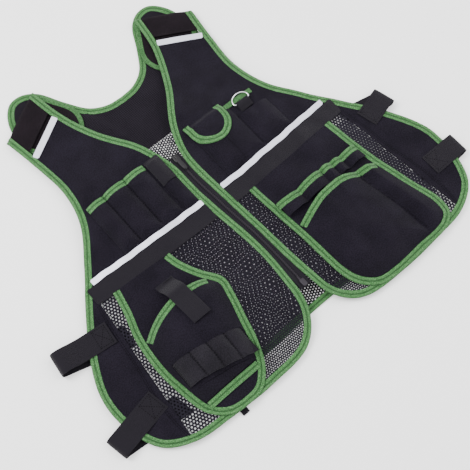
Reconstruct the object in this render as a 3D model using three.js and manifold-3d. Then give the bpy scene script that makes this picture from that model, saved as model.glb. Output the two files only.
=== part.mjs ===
// Utility work vest, lying face up and zipped shut. Millimetres, +Z up, neck towards +Y.
// Left and right are the wearer's, so left is +X.
import * as THREE from 'three';
import { mergeVertices } from 'three/addons/utils/BufferGeometryUtils.js';
import Module from 'manifold-3d';

const wasm = await Module();
wasm.setup();

// Overall sizes
const LENGTH = 640;
const HALF_WIDTH = 350;
const BACK_HALF = 226;
const YOKE_HEIGHT = LENGTH * 0.675;
const GAP = 0.3;

// Cutting blocks reach below the floor and above everything
const CUT_LOW = -60;
const CUT_HIGH = 160;
const BEYOND = LENGTH * 1.2;
const BELOW_HEM = -LENGTH * 0.1;

// Cloth, tape and webbing
const CLOTH = 2;
const EDGING = 12;
const EDGING_PROUD = 0.5;
const WEBBING = 1.8;
const POCKET_WALL = 1.6;

// How the front lies above the back
const EDGE_LIFT = 7;
const DOME = 16;
const DOME_HALF = 258;
const HEM_RAMP = 90;
const SHOULDER_LIFT = 9;
const SHOULDER_FLAT = 95;
const SHOULDER_RAMP = 110;
const PITCH = 46;

// Belt webbing and reflective strips
const BELT_HEIGHT = LENGTH * 0.4453;
const BELT_RISE = 15;
const BELT_WIDTH = 31;
const STRIP_WIDTH = 11;
const STRIP = 0.9;

// Shoulder pad, folded over the top and back inside the neck
const PAD = 3;
const PAD_REACH = 50;
const PAD_TAIL = 112;
const PAD_TAIL_STRAIGHT = 63;
const SHOULDER_INNER = { x: 110, y: LENGTH };
const SHOULDER_OUTER = { x: 200, y: LENGTH - 51 };

// Zip
const ZIP_LEAN = -11;
const ZIP_LEAN_START = 150;
const ZIP_LEAN_RUN = 190;
const ZIP_LEAN_REACH = 90;
const ZIP_BOTTOM = 78;
const ZIP_TOP = 384;
const COIL_WIDTH = 6;
const COIL_HEIGHT = 3.2;
const ZIP_TAPE = { width: 13, low: 0.2, thick: 1.4 };
const SLIDER = { width: 11, length: 16, height: 8, pull: 24, pullWidth: 7, pullThick: 1.6 };
const PIN_BOX = { width: 9, length: 14, height: 6 };

// Side straps
const STRAP_WIDTH = 38;
const STRAP_LAP = 12;

// Left chest pocket, its flap and the ring
const CHEST_POCKET = {
  inner: 34, split: 116, outer: 176, top: BELT_HEIGHT + 107, lowTop: BELT_HEIGHT + 83, puff: 8, reach: 26,
};
const FLAP = { inner: 30, outer: 107, top: BELT_HEIGHT + 125, bottom: BELT_HEIGHT + 66 };
const RING = { x: 141, y: BELT_HEIGHT + 101, wire: 2.2, width: 34, reach: 17, play: 0.4 };
const RING_LOOP = { width: 25, length: 15 };
const RING_TAPE = { from: 110, to: 168, y: BELT_HEIGHT + 112, width: 9 };

// Right chest pockets
const PEN_POCKET = {
  outer: -177, first: -143, second: -101, inner: -60, top: BELT_HEIGHT + 120, puff: 9, reach: 17,
};
const SLIM_POCKET = { outer: -57, inner: -31, top: BELT_HEIGHT + 107, puff: 6, reach: 13 };
const SLIM_TAB = { outer: -59, inner: -30, top: BELT_HEIGHT + 120, bottom: BELT_HEIGHT + 67 };

// Left large pocket
const LARGE_POCKET = { puff: 16, reach: 34, splitTop: 190, splitBottom: 214, mouth: LENGTH * 0.2734 };
const LOOPS = {
  bottom: LENGTH * 0.28, top: LENGTH * 0.28 + 29, puff: 10, reach: 22,
  stops: [48, 98, 148, 171, 191, 229], margin: 8,
};

// Right tool pouch
const POUCH = { puff: 26, reach: 52, base: LENGTH * 0.067, mouth: LENGTH * 0.302 };
const POUCH_TAB = { outer: -178, inner: -146, top: LENGTH * 0.356, bottom: LENGTH * 0.217, slant: -0.06 };
const BIT_LOOPS = {
  outer: -236, inner: -122, y: LENGTH * 0.13, slope: -0.22, height: 38, count: 4, puff: 6,
};
const HEM_TAB = { x: -196, width: 12, drop: 8, top: 77 };

// Colours
const GREEN = { color: 0x5fa35c, roughness: 0.85 };
const BLACK_CLOTH = { color: 0x23212d, roughness: 0.9 };
const BLACK_PAD = { color: 0x201a20, roughness: 0.95 };
const BLACK_MESH = { color: 0x2a2832, roughness: 0.95 };
const BLACK_WEB = { color: 0x2d2b2f, roughness: 0.8 };
const REFLECTIVE = { color: 0xdedeeb, roughness: 0.45 };
const BLACK_PLASTIC = { color: 0x2a2430, roughness: 0.5 };
const CHROME = { color: 0xd0d2d6, roughness: 0.2, metalness: 1 };

// Front edge from the shoulder fold down the neck and zip, round the hem and hip, up the armhole.
// across is a share of HALF_WIDTH, up a share of LENGTH.
const FRONT_EDGE = [
  { across: 0.314, up: 1.000 },
  { across: 0.280, up: 0.895 },
  { across: 0.194, up: 0.778 },
  { across: 0.077, up: 0.667 },
  { across: 0.029, up: 0.581 },
  { across: 0.026, up: 0.469 },
  { across: 0.026, up: 0.188 },
  { across: 0.063, up: 0.072 },
  { across: 0.171, up: 0.014 },
  { across: 0.400, up: 0.000 },
  { across: 0.614, up: 0.005 },
  { across: 0.803, up: 0.018 },
  { across: 0.930, up: 0.062 },
  { across: 0.991, up: 0.156 },
  { across: 0.986, up: 0.242 },
  { across: 0.909, up: 0.339 },
  { across: 0.789, up: 0.438 },
  { across: 0.674, up: 0.523 },
  { across: 0.566, up: 0.614 },
  { across: 0.526, up: 0.711 },
  { across: 0.543, up: 0.820 },
  { across: 0.571, up: 0.920 },
];

// Half of the back edge, from the middle of the neck to the middle of the hem.
// across is a share of BACK_HALF, up a share of LENGTH.
const BACK_EDGE = [
  { across: 0.000, up: 0.841 },
  { across: 0.120, up: 0.846 },
  { across: 0.240, up: 0.870 },
  { across: 0.350, up: 0.928 },
  { across: 0.455, up: 0.994 },
  { across: 0.560, up: 1.019 },
  { across: 0.670, up: 1.017 },
  { across: 0.770, up: 0.975 },
  { across: 0.815, up: 0.890 },
  { across: 0.790, up: 0.770 },
  { across: 0.800, up: 0.660 },
  { across: 0.900, up: 0.550 },
  { across: 0.985, up: 0.450 },
  { across: 1.000, up: 0.300 },
  { across: 0.985, up: 0.150 },
  { across: 0.925, up: 0.085 },
  { across: 0.800, up: 0.070 },
  { across: 0.000, up: 0.070 },
];

// Seam between the side mesh and the side panel, top to bottom, as shares of HALF_WIDTH and LENGTH.
const SIDE_SEAM = [
  { across: 0.720, up: 0.470 },
  { across: 0.757, up: 0.364 },
  { across: 0.780, up: 0.253 },
  { across: 0.809, up: 0.150 },
  { across: 0.812, up: 0.080 },
  { across: 0.795, up: -0.020 },
];

// Left pocket panel, counter-clockwise from the top inner corner, which the belt covers.
const LARGE_PANEL_EDGE = [
  { across: 0.110, up: 0.450 },
  { across: 0.122, up: 0.345 },
  { across: 0.141, up: 0.205 },
  { across: 0.150, up: 0.100 },
  { across: 0.185, up: 0.048 },
  { across: 0.265, up: 0.010 },
  { across: 0.371, up: 0.001 },
  { across: 0.520, up: 0.004 },
  { across: 0.690, up: 0.010 },
  { across: 0.752, up: 0.034 },
  { across: 0.764, up: 0.078 },
  { across: 0.740, up: 0.140 },
  { across: 0.686, up: 0.260 },
  { across: 0.663, up: 0.350 },
  { across: 0.645, up: 0.460 },
];

// Right pouch panel, clockwise from the top inner corner, which the belt covers.
const TOOL_PANEL_EDGE = [
  { across: -0.365, up: 0.450 },
  { across: -0.342, up: 0.370 },
  { across: -0.300, up: 0.318 },
  { across: -0.248, up: 0.268 },
  { across: -0.262, up: 0.220 },
  { across: -0.295, up: 0.155 },
  { across: -0.326, up: 0.095 },
  { across: -0.368, up: 0.045 },
  { across: -0.440, up: 0.008 },
  { across: -0.530, up: 0.001 },
  { across: -0.620, up: 0.012 },
  { across: -0.690, up: 0.050 },
  { across: -0.722, up: 0.120 },
  { across: -0.735, up: 0.200 },
  { across: -0.720, up: 0.290 },
  { across: -0.680, up: 0.365 },
  { across: -0.645, up: 0.460 },
];

// Mouth of the right pouch from the outer to the inner end.
const POUCH_MOUTH = [
  { across: -0.760, up: 0.250 },
  { across: -0.700, up: 0.268 },
  { across: -0.620, up: 0.287 },
  { across: -0.500, up: 0.302 },
  { across: -0.400, up: 0.303 },
  { across: -0.320, up: 0.297 },
  { across: -0.200, up: 0.262 },
];

// Mouth of the left large pocket from the inner to the outer end.
const LARGE_MOUTH = [
  { across: 0.090, up: 0.225 },
  { across: 0.151, up: 0.243 },
  { across: 0.240, up: 0.259 },
  { across: 0.330, up: 0.272 },
  { across: 0.450, up: 0.275 },
  { across: 0.540, up: 0.266 },
  { across: 0.640, up: 0.255 },
  { across: 0.760, up: 0.240 },
];

// Main folds of the fronts: place as shares of HALF_WIDTH and LENGTH, direction in degrees,
// and half length, half width and height in millimetres.
const FOLDS = [
  { across: -0.46, up: 0.72, turn: 62, along: 95, wide: 30, height: 4 },
  { across: 0.36, up: 0.70, turn: 118, along: 95, wide: 34, height: -5 },
  { across: -0.16, up: 0.50, turn: 88, along: 60, wide: 30, height: -3 },
  { across: 0.16, up: 0.30, turn: 95, along: 90, wide: 32, height: -4 },
  { across: -0.16, up: 0.18, turn: 70, along: 80, wide: 32, height: 5 },
  { across: 0.52, up: 0.50, turn: 20, along: 70, wide: 30, height: 3 },
];

// Side straps: sewn end, fold and anchored end of each, in shares of HALF_WIDTH and LENGTH.
const STRAPS = [
  { name: 'side_strap_right_upper', sewn: [-0.774, 0.349], fold: [-1.046, 0.367], anchor: [-0.62, 0.300] },
  { name: 'side_strap_right_lower', sewn: [-0.806, 0.150], fold: [-1.074, 0.122], anchor: [-0.62, 0.100] },
  { name: 'side_strap_left_upper', sewn: [0.800, 0.360], fold: [0.958, 0.381], anchor: [0.62, 0.420] },
  { name: 'side_strap_left_lower', sewn: [0.851, 0.156], fold: [1.040, 0.155], anchor: [0.62, 0.140] },
];

// Small maths
const clamp01 = (t) => Math.min(Math.max(t, 0), 1);
const smooth = (t) => clamp01(t) ** 2 * (3 - 2 * clamp01(t));
const mix = (a, b, t) => a + (b - a) * t;
const range = (count) => Array.from({ length: count }, (_, i) => i);
const point = (x, y) => new THREE.Vector2(x, y);

function placed(rows, width = HALF_WIDTH) {
  return rows.map((row) => point(row.across * width, row.up * LENGTH));
}

function curveThrough(points, perSpan = 3) {
  const knots = points.map((p) => new THREE.Vector3(p.x, p.y, 0));
  const curve = new THREE.CatmullRomCurve3(knots, false, 'centripetal');
  return curve.getPoints((points.length - 1) * perSpan).map((p) => point(p.x, p.y));
}

function mirrored(points, side) {
  return points.map((p) => point(p.x * side, p.y));
}

function signedArea(points) {
  return points.reduce((sum, p, i) => {
    const q = points[(i + 1) % points.length];
    return sum + (p.x * q.y - q.x * p.y) / 2;
  }, 0);
}

// Outline moved inwards by a distance, or outwards by a negative one.
function inset(points, distance) {
  const turn = Math.sign(signedArea(points));
  return points.map((p, i) => {
    const before = points[(i + points.length - 1) % points.length];
    const after = points[(i + 1) % points.length];
    const a = p.clone().sub(before).normalize();
    const b = after.clone().sub(p).normalize();
    const normal = point(-(a.y + b.y), a.x + b.x).normalize();
    const stretch = Math.max(normal.dot(point(-a.y, a.x)), 0.5);
    return p.clone().addScaledVector(normal, (turn * distance) / stretch);
  });
}

function distanceTo(line, x, y) {
  let nearest = Infinity;
  for (let i = 1; i < line.length; i += 1) {
    const a = line[i - 1];
    const b = line[i];
    const dx = b.x - a.x;
    const dy = b.y - a.y;
    const t = clamp01(((x - a.x) * dx + (y - a.y) * dy) / (dx * dx + dy * dy));
    nearest = Math.min(nearest, Math.hypot(x - a.x - t * dx, y - a.y - t * dy));
  }
  return nearest;
}

// The shoulder fold: a frame with t along the fold from the neck side and s down from it.
function foldFrame(side) {
  const inner = point(SHOULDER_INNER.x * side, SHOULDER_INNER.y);
  const outer = point(SHOULDER_OUTER.x * side, SHOULDER_OUTER.y);
  const along = outer.clone().sub(inner);
  const width = along.length();
  along.normalize();
  const down = side > 0 ? point(along.y, -along.x) : point(-along.y, along.x);
  return { inner, along, down, width };
}

const FOLD_FRAMES = { 1: foldFrame(1), [-1]: foldFrame(-1) };

function fromFold(side, t, s) {
  const frame = FOLD_FRAMES[side];
  return frame.inner.clone().addScaledVector(frame.along, t).addScaledVector(frame.down, s);
}

function foldDistance(x, y) {
  const frame = FOLD_FRAMES[x < 0 ? -1 : 1];
  return (x - frame.inner.x) * frame.down.x + (y - frame.inner.y) * frame.down.y;
}

// Height of the underside of the front above the floor
function lift(x, y) {
  const fall = 1 - Math.min(Math.abs(x) / DOME_HALF, 1) ** 2.5;
  const folds = FOLDS.reduce((sum, fold) => {
    const turn = THREE.MathUtils.degToRad(fold.turn);
    const dx = x - fold.across * HALF_WIDTH;
    const dy = y - fold.up * LENGTH;
    const u = (dx * Math.cos(turn) + dy * Math.sin(turn)) / fold.along;
    const v = (dy * Math.cos(turn) - dx * Math.sin(turn)) / fold.wide;
    return sum + fold.height * Math.exp(-u * u - v * v);
  }, 0);
  const open = EDGE_LIFT + (DOME + folds) * fall * smooth(y / HEM_RAMP);
  return mix(SHOULDER_LIFT, open, smooth((foldDistance(x, y) - SHOULDER_FLAT) / SHOULDER_RAMP));
}

const liftNodes = new Map();

function nodeLift(i, j) {
  const key = `${i} ${j}`;
  if (!liftNodes.has(key)) {
    liftNodes.set(key, lift(i * PITCH, j * PITCH));
  }
  return liftNodes.get(key);
}

// The same height on the facets that every layer shares, so that layers never cross
function base(x, y) {
  const i = Math.floor(x / PITCH);
  const j = Math.floor(y / PITCH);
  const u = x / PITCH - i;
  const v = y / PITCH - j;
  const near = nodeLift(i, j);
  const far = nodeLift(i + 1, j + 1);
  if (u >= v) {
    const side = nodeLift(i + 1, j);
    return near + u * (side - near) + v * (far - side);
  }
  const side = nodeLift(i, j + 1);
  return near + v * (side - near) + u * (far - side);
}

const above = (height) => (x, y) => base(x, y) + height;

// Solids
function solidOf(geometry) {
  const bare = geometry.clone();
  bare.deleteAttribute('normal');
  bare.deleteAttribute('uv');
  const merged = mergeVertices(bare, 1e-4);
  const mesh = new wasm.Mesh({
    numProp: 3,
    vertProperties: new Float32Array(merged.attributes.position.array),
    triVerts: new Uint32Array(merged.index.array),
  });
  return new wasm.Manifold(mesh);
}

function prism(outline, low = CUT_LOW, high = CUT_HIGH) {
  const shape = new THREE.Shape(outline);
  const geometry = new THREE.ExtrudeGeometry(shape, { depth: high - low, bevelEnabled: false });
  geometry.translate(0, 0, low);
  return solidOf(geometry);
}

function linesBetween(low, high, step) {
  const first = Math.floor(low / step) - 1;
  const last = Math.ceil(high / step) + 1;
  return range(last - first + 1).map((i) => (first + i) * step);
}

// A closed block between two height functions over a grid of lines
function block(xs, ys, under, over) {
  const vertices = [];
  const triangles = [];
  const columns = xs.length;
  const layer = columns * ys.length;
  for (const height of [under, over]) {
    for (const y of ys) {
      for (const x of xs) {
        vertices.push(x, y, height(x, y));
      }
    }
  }
  const at = (i, j, top) => j * columns + i + (top ? layer : 0);
  for (let j = 0; j < ys.length - 1; j += 1) {
    for (let i = 0; i < columns - 1; i += 1) {
      triangles.push(at(i, j, 1), at(i + 1, j, 1), at(i + 1, j + 1, 1));
      triangles.push(at(i, j, 1), at(i + 1, j + 1, 1), at(i, j + 1, 1));
      triangles.push(at(i, j, 0), at(i + 1, j + 1, 0), at(i + 1, j, 0));
      triangles.push(at(i, j, 0), at(i, j + 1, 0), at(i + 1, j + 1, 0));
    }
  }
  const rim = [
    ...range(columns - 1).map((i) => [i, 0]),
    ...range(ys.length - 1).map((j) => [columns - 1, j]),
    ...range(columns - 1).map((i) => [columns - 1 - i, ys.length - 1]),
    ...range(ys.length - 1).map((j) => [0, ys.length - 1 - j]),
  ];
  rim.forEach(([i, j], k) => {
    const [p, q] = rim[(k + 1) % rim.length];
    triangles.push(at(i, j, 0), at(p, q, 0), at(p, q, 1));
    triangles.push(at(i, j, 0), at(p, q, 1), at(i, j, 1));
  });
  const geometry = new THREE.BufferGeometry();
  geometry.setAttribute('position', new THREE.Float32BufferAttribute(vertices, 3));
  geometry.setIndex(triangles);
  return solidOf(geometry);
}

function gridOver(outline, step) {
  const xs = outline.map((p) => p.x);
  const ys = outline.map((p) => p.y);
  return {
    xs: linesBetween(Math.min(...xs), Math.max(...xs), step),
    ys: linesBetween(Math.min(...ys), Math.max(...ys), step),
  };
}

// Cloth that follows the front: the outline cut from a slab between two heights
function layer(outline, low, high) {
  const grid = gridOver(outline, PITCH);
  return block(grid.xs, grid.ys, above(low), above(high)).intersect(prism(outline));
}

function band(outline, width, low, high) {
  return layer(outline, low, high).subtract(prism(inset(outline, width)));
}

const group = new THREE.Group();

function add(name, solid, look) {
  const mesh = solid.getMesh();
  const geometry = new THREE.BufferGeometry();
  geometry.setAttribute('position', new THREE.BufferAttribute(new Float32Array(mesh.vertProperties), 3));
  geometry.setIndex(new THREE.BufferAttribute(new Uint32Array(mesh.triVerts), 1));
  geometry.computeVertexNormals();
  const part = new THREE.Mesh(geometry, new THREE.MeshStandardMaterial(look));
  part.name = name;
  group.add(part);
}

const sideName = (side) => (side > 0 ? 'left' : 'right');

// Outlines of the fronts
function zipCentre(y) {
  return ZIP_LEAN * smooth((y - ZIP_LEAN_START) / ZIP_LEAN_RUN);
}

// The front outline runs on past the shoulder fold, where the pad's frame cuts it
function frontOutline(side) {
  const edge = curveThrough(placed(FRONT_EDGE), 2).map((p) => {
    const share = clamp01(1 - (p.x - FRONT_EDGE[5].across * HALF_WIDTH) / ZIP_LEAN_REACH);
    return point(p.x * side + zipCentre(p.y) * share, p.y);
  });
  const first = edge[0];
  const last = edge[edge.length - 1];
  const start = first.clone().sub(edge[1]).setLength(PAD_REACH).add(first);
  const end = last.clone().sub(edge[edge.length - 2]).setLength(PAD_REACH).add(last);
  return [start, ...edge, end];
}

const FRONTS = { 1: frontOutline(1), [-1]: frontOutline(-1) };

// The field inside each front's edging, where the chest pockets lie
const FIELDS = {
  1: prism(inset(FRONTS[1], EDGING + GAP * 2)),
  [-1]: prism(inset(FRONTS[-1], EDGING + GAP * 2)),
};

function shoulderZone(side, from, to) {
  const corners = [[-LENGTH, from], [LENGTH, from], [LENGTH, to], [-LENGTH, to]];
  return prism(corners.map(([t, s]) => fromFold(side, t, s)));
}

const beltTop = (x) => BELT_HEIGHT + BELT_RISE * (Math.abs(x) / DOME_HALF) ** 2;

// A region between two curves of x, reaching past the sides of the vest on one side
function betweenCurves(side, low, high) {
  const xs = range(11).map((i) => (i * HALF_WIDTH * 1.15 * side) / 10);
  const lower = xs.map((x) => point(x, low(x)));
  const upper = xs.map((x) => point(x, high(x))).reverse();
  return [...lower, ...upper];
}

const aboveBelt = (side, from) => betweenCurves(side, (x) => beltTop(x) + from, () => BEYOND);
const belowBelt = (side, from) => betweenCurves(side, () => BELOW_HEM, (x) => beltTop(x) + from);

function seamSide(side, offset, far) {
  const seam = curveThrough(placed(SIDE_SEAM), 2);
  const moved = seam.map((p) => point(p.x + offset, p.y));
  const ends = [point(far, seam[seam.length - 1].y), point(far, seam[0].y)];
  return prism(mirrored([...moved, ...ends], side));
}

// The back
function backOutline() {
  const half = curveThrough(placed(BACK_EDGE, BACK_HALF), 2);
  const other = mirrored(half.slice(1, -1), -1).reverse();
  return [...half, ...other];
}

const BACK = backOutline();

function buildBack() {
  const inner = prism(inset(BACK, EDGING + GAP), 0, CLOTH);
  const box = (low, high) => prism([point(-HALF_WIDTH, low), point(HALF_WIDTH, low),
    point(HALF_WIDTH, high), point(-HALF_WIDTH, high)]);
  add('back_mesh', inner.intersect(box(-PITCH, YOKE_HEIGHT - GAP / 2)), BLACK_MESH);
  add('back_yoke', inner.intersect(box(YOKE_HEIGHT + GAP / 2, BEYOND)), BLACK_CLOTH);
  const edging = prism(BACK, 0, CLOTH + EDGING_PROUD).subtract(prism(inset(BACK, EDGING)));
  add('back_edging', edging, GREEN);
}

// The fronts
function buildFront(side) {
  const outline = FRONTS[side];
  const inner = inset(outline, EDGING + GAP);
  const cloth = layer(inner, 0, CLOTH);
  const beltMiddle = -BELT_WIDTH / 2;
  const name = sideName(side);
  const chest = cloth.intersect(prism(aboveBelt(side, beltMiddle + GAP / 2)));
  const lower = cloth.intersect(prism(belowBelt(side, beltMiddle - GAP / 2)));
  const shoulder = shoulderZone(side, PAD_REACH + GAP, BEYOND);
  add(`chest_panel_${name}`, chest.intersect(shoulder), BLACK_CLOTH);
  add(`front_mesh_${name}`, lower.intersect(seamSide(side, -GAP / 2, -HALF_WIDTH)), BLACK_MESH);
  add(`side_panel_${name}`, lower.intersect(seamSide(side, GAP / 2, HALF_WIDTH * 1.2)), BLACK_CLOTH);
  const edging = band(outline, EDGING, -EDGING_PROUD, CLOTH + EDGING_PROUD).intersect(shoulder);
  add(`front_edging_${name}`, edging, GREEN);
  const trim = prism(inner);
  const seat = CLOTH + GAP;
  const belt = layer(betweenCurves(side, (x) => beltTop(x) - BELT_WIDTH, beltTop), seat, seat + WEBBING);
  add(`belt_webbing_${name}`, belt.intersect(trim), BLACK_WEB);
  const strip = layer(
    betweenCurves(side, (x) => beltTop(x) + GAP, (x) => beltTop(x) + GAP + STRIP_WIDTH),
    seat,
    seat + STRIP,
  );
  add(`chest_strip_${name}`, strip.intersect(trim), REFLECTIVE);
  const from = PAD_REACH + GAP;
  const far = FOLD_FRAMES[side].width + EDGING * 2;
  const near = -EDGING * 2;
  const corners = [[near, from], [far, from], [far, from + STRIP_WIDTH], [near, from + STRIP_WIDTH]];
  const top = layer(corners.map(([t, s]) => fromFold(side, t, s)), seat, seat + STRIP);
  add(`shoulder_strip_${name}`, top.intersect(trim), REFLECTIVE);
}

// Folded ribbon seen from its edge: top leg, half turn, bottom leg, as a shape in s and z
function foldedSection(low, lowTop, highBottom, high, topLeg, lowLeg) {
  const middle = (low + high) / 2;
  const outer = (high - low) / 2;
  const within = (highBottom - lowTop) / 2;
  const shape = new THREE.Shape();
  shape.moveTo(topLeg, highBottom);
  shape.lineTo(topLeg, high);
  shape.lineTo(outer, high);
  shape.absarc(outer, middle, outer, Math.PI / 2, (3 * Math.PI) / 2, false);
  shape.lineTo(lowLeg, low);
  shape.lineTo(lowLeg, lowTop);
  shape.lineTo(outer, lowTop);
  shape.absarc(outer, middle, within, (3 * Math.PI) / 2, Math.PI / 2, true);
  return shape;
}

// A section in a vertical plane, pushed sideways: origin on the plan, direction on the plan
function sweep(shape, origin, direction, width) {
  const geometry = new THREE.ExtrudeGeometry(shape, { depth: width, bevelEnabled: false, curveSegments: 4 });
  geometry.translate(0, 0, -width / 2);
  const forward = new THREE.Vector3(direction.x, direction.y, 0).normalize();
  const up = new THREE.Vector3(0, 0, 1);
  const sideways = new THREE.Vector3().crossVectors(forward, up);
  const basis = new THREE.Matrix4().makeBasis(forward, up, sideways);
  basis.setPosition(origin.x, origin.y, 0);
  geometry.applyMatrix4(basis);
  return solidOf(geometry);
}

// Plan of the pad's tail behind the neck: straight sides, then a rounded end
function padTail(side, shrink) {
  const width = FOLD_FRAMES[side].width;
  const radius = width / 2 - shrink;
  const end = PAD_TAIL - PAD_TAIL_STRAIGHT - shrink;
  const arc = range(9).map((i) => {
    const turn = Math.PI - (Math.PI * i) / 8;
    return [width / 2 + radius * Math.cos(turn), PAD_TAIL_STRAIGHT + end * Math.sin(turn)];
  });
  const corners = [[width - shrink, -PAD_REACH], [shrink, -PAD_REACH]];
  return [...arc, ...corners].map(([t, s]) => fromFold(side, t, s));
}

// The folded pad cut to its plan: the front's outline above the split, the tail's below it.
// With a band, only that width along the edge is kept.
function padSolid(side, grow, shrink, band = 0) {
  const frame = FOLD_FRAMES[side];
  const bottom = CLOTH + EDGING_PROUD + GAP + EDGING_PROUD;
  const section = foldedSection(
    bottom - grow,
    bottom + PAD + grow,
    SHOULDER_LIFT - grow,
    SHOULDER_LIFT + PAD + grow,
    PAD_REACH,
    PAD_TAIL * 1.1,
  );
  const origin = fromFold(side, frame.width / 2, 0);
  const swept = sweep(section, origin, frame.down, frame.width * 2);
  const split = (bottom + SHOULDER_LIFT + PAD) / 2;
  const half = (plan, low, high) => {
    const whole = swept.intersect(prism(plan(shrink), low, high));
    return band > 0 ? whole.subtract(prism(plan(shrink + band))) : whole;
  };
  const upper = (by) => inset(FRONTS[side], by);
  const tail = (by) => padTail(side, by);
  return half(upper, split, CUT_HIGH).add(half(tail, CUT_LOW, split));
}

function buildPad(side) {
  const name = sideName(side);
  add(`shoulder_pad_${name}`, padSolid(side, 0, EDGING + GAP), BLACK_PAD);
  add(`pad_edging_${name}`, padSolid(side, EDGING_PROUD, 0, EDGING), GREEN);
}

// The zip
function zipStrip(from, to, low, high) {
  const ys = linesBetween(low, high, PITCH).filter((y) => y > low && y < high);
  const rows = [low, ...ys, high];
  const inner = rows.map((y) => point(zipCentre(y) + from, y));
  const outer = rows.map((y) => point(zipCentre(y) + to, y)).reverse();
  return [...inner, ...outer];
}

function buildZip() {
  const half = COIL_WIDTH / 2;
  for (const side of [1, -1]) {
    const plan = zipStrip(side * (half + GAP), side * ZIP_TAPE.width, ZIP_BOTTOM, ZIP_TOP);
    const tape = layer(plan, ZIP_TAPE.low, ZIP_TAPE.low + ZIP_TAPE.thick);
    add(`zip_tape_${sideName(side)}`, tape.subtract(prism(inset(FRONTS[side], -GAP))), BLACK_WEB);
  }
  const coilFrom = ZIP_BOTTOM + PIN_BOX.length + GAP;
  const coilTo = ZIP_TOP - SLIDER.length - GAP;
  add('zip_coil', layer(zipStrip(-half, half, coilFrom, coilTo), 0, COIL_HEIGHT), BLACK_PLASTIC);
  const pin = layer(zipStrip(-half, half, ZIP_BOTTOM, ZIP_BOTTOM + PIN_BOX.length), 0, COIL_HEIGHT);
  const pinTop = layer(
    zipStrip(-PIN_BOX.width / 2, PIN_BOX.width / 2, ZIP_BOTTOM, ZIP_BOTTOM + PIN_BOX.length),
    CLOTH,
    PIN_BOX.height,
  );
  add('zip_pin_box', pin.add(pinTop), BLACK_PLASTIC);
  const bodyFrom = ZIP_TOP - SLIDER.length;
  const body = layer(zipStrip(-half, half, bodyFrom, ZIP_TOP), 0, COIL_HEIGHT);
  const cover = layer(zipStrip(-SLIDER.width / 2, SLIDER.width / 2, bodyFrom, ZIP_TOP), CLOTH, SLIDER.height);
  const pullFrom = bodyFrom - SLIDER.pull;
  const pull = layer(
    zipStrip(-SLIDER.pullWidth / 2, SLIDER.pullWidth / 2, pullFrom, bodyFrom + SLIDER.length / 2),
    SLIDER.height - SLIDER.pullThick,
    SLIDER.height,
  );
  add('zip_slider', body.add(cover).add(pull), BLACK_PLASTIC);
}

// Side straps, sewn over the side panel, folded past its edge and back to the side of the back
function buildStraps() {
  const clearOfBack = prism(inset(BACK, -GAP));
  const under = EDGE_LIFT + CLOTH + EDGING_PROUD + GAP;
  const over = under + WEBBING;
  for (const row of STRAPS) {
    const ends = [row.sewn, row.fold, row.anchor].map(([across, up]) => ({ across, up }));
    const [sewn, fold, anchor] = placed(ends);
    const inward = sewn.clone().sub(fold);
    const section = foldedSection(0, WEBBING, under, over, inward.length(), over / 2 + STRAP_LAP);
    const top = sweep(section, fold, inward, STRAP_WIDTH);
    const turn = fold.clone().addScaledVector(inward.clone().normalize(), over / 2);
    const run = anchor.clone().sub(turn);
    const across = point(-run.y, run.x).setLength(STRAP_WIDTH / 2);
    const corners = [
      turn.clone().add(across),
      turn.clone().sub(across),
      anchor.clone().sub(across),
      anchor.clone().add(across),
    ];
    const back = prism(corners, 0, WEBBING).subtract(clearOfBack);
    add(row.name, top.add(back), BLACK_WEB);
  }
  const half = HEM_TAB.width / 2;
  const tab = prism([
    point(HEM_TAB.x - half, -HEM_TAB.drop),
    point(HEM_TAB.x + half, -HEM_TAB.drop),
    point(HEM_TAB.x + half, HEM_TAB.top),
    point(HEM_TAB.x - half, HEM_TAB.top),
  ], 0, WEBBING);
  add('hem_tab', tab.subtract(clearOfBack), BLACK_WEB);
}

// Pockets: a shell that stands off its ground by a puff, which dies away at its seams
function puffOf(seams, height, reach) {
  return (x, y) => {
    const nearest = Math.min(...seams.map((seam) => distanceTo(seam, x, y)));
    const t = clamp01(nearest / reach);
    return height * (1 - (1 - t) ** 2);
  };
}

function pocketSolid({ outline, ground, puff, wall, xs, ys, clear }) {
  const under = (x, y) => ground(x, y) + GAP + puff(x, y);
  const outer = block(xs, ys, (x, y) => ground(x, y) - CLOTH, (x, y) => under(x, y) + wall);
  const hollow = block(xs, ys, (x, y) => ground(x, y) - CLOTH * 2, under);
  return outer.intersect(prism(outline)).subtract(hollow).subtract(clear);
}

function groundBlock(outline, height) {
  const grid = gridOver(outline, PITCH);
  return block(grid.xs, grid.ys, above(-CLOTH * 3), above(height + GAP));
}

function linesWith(stops, step) {
  const lines = [];
  stops.forEach((stop, i) => {
    lines.push(stop);
    if (i < stops.length - 1) {
      const count = Math.max(Math.round((stops[i + 1] - stop) / step), 1);
      for (let k = 1; k < count; k += 1) {
        lines.push(stop + ((stops[i + 1] - stop) * k) / count);
      }
    }
  });
  return lines;
}

const upright = (x, low, high) => [point(x, low), point(x, high)];
const rectangle = (x0, x1, y0, y1) => [point(x0, y0), point(x1, y0), point(x1, y1), point(x0, y1)];
const stripTop = (x) => beltTop(x) + STRIP_WIDTH + GAP * 2;

// Bottom edge of a chest pocket along the reflective strip
function chestOutline(from, to, top) {
  const xs = range(7).map((i) => mix(from, to, i / 6));
  return [...xs.map((x) => point(x, stripTop(x))), point(to, top), point(from, top)];
}

function bottomSeam(from, to) {
  return range(7).map((i) => mix(from, to, i / 6)).map((x) => point(x, stripTop(x)));
}

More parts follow.
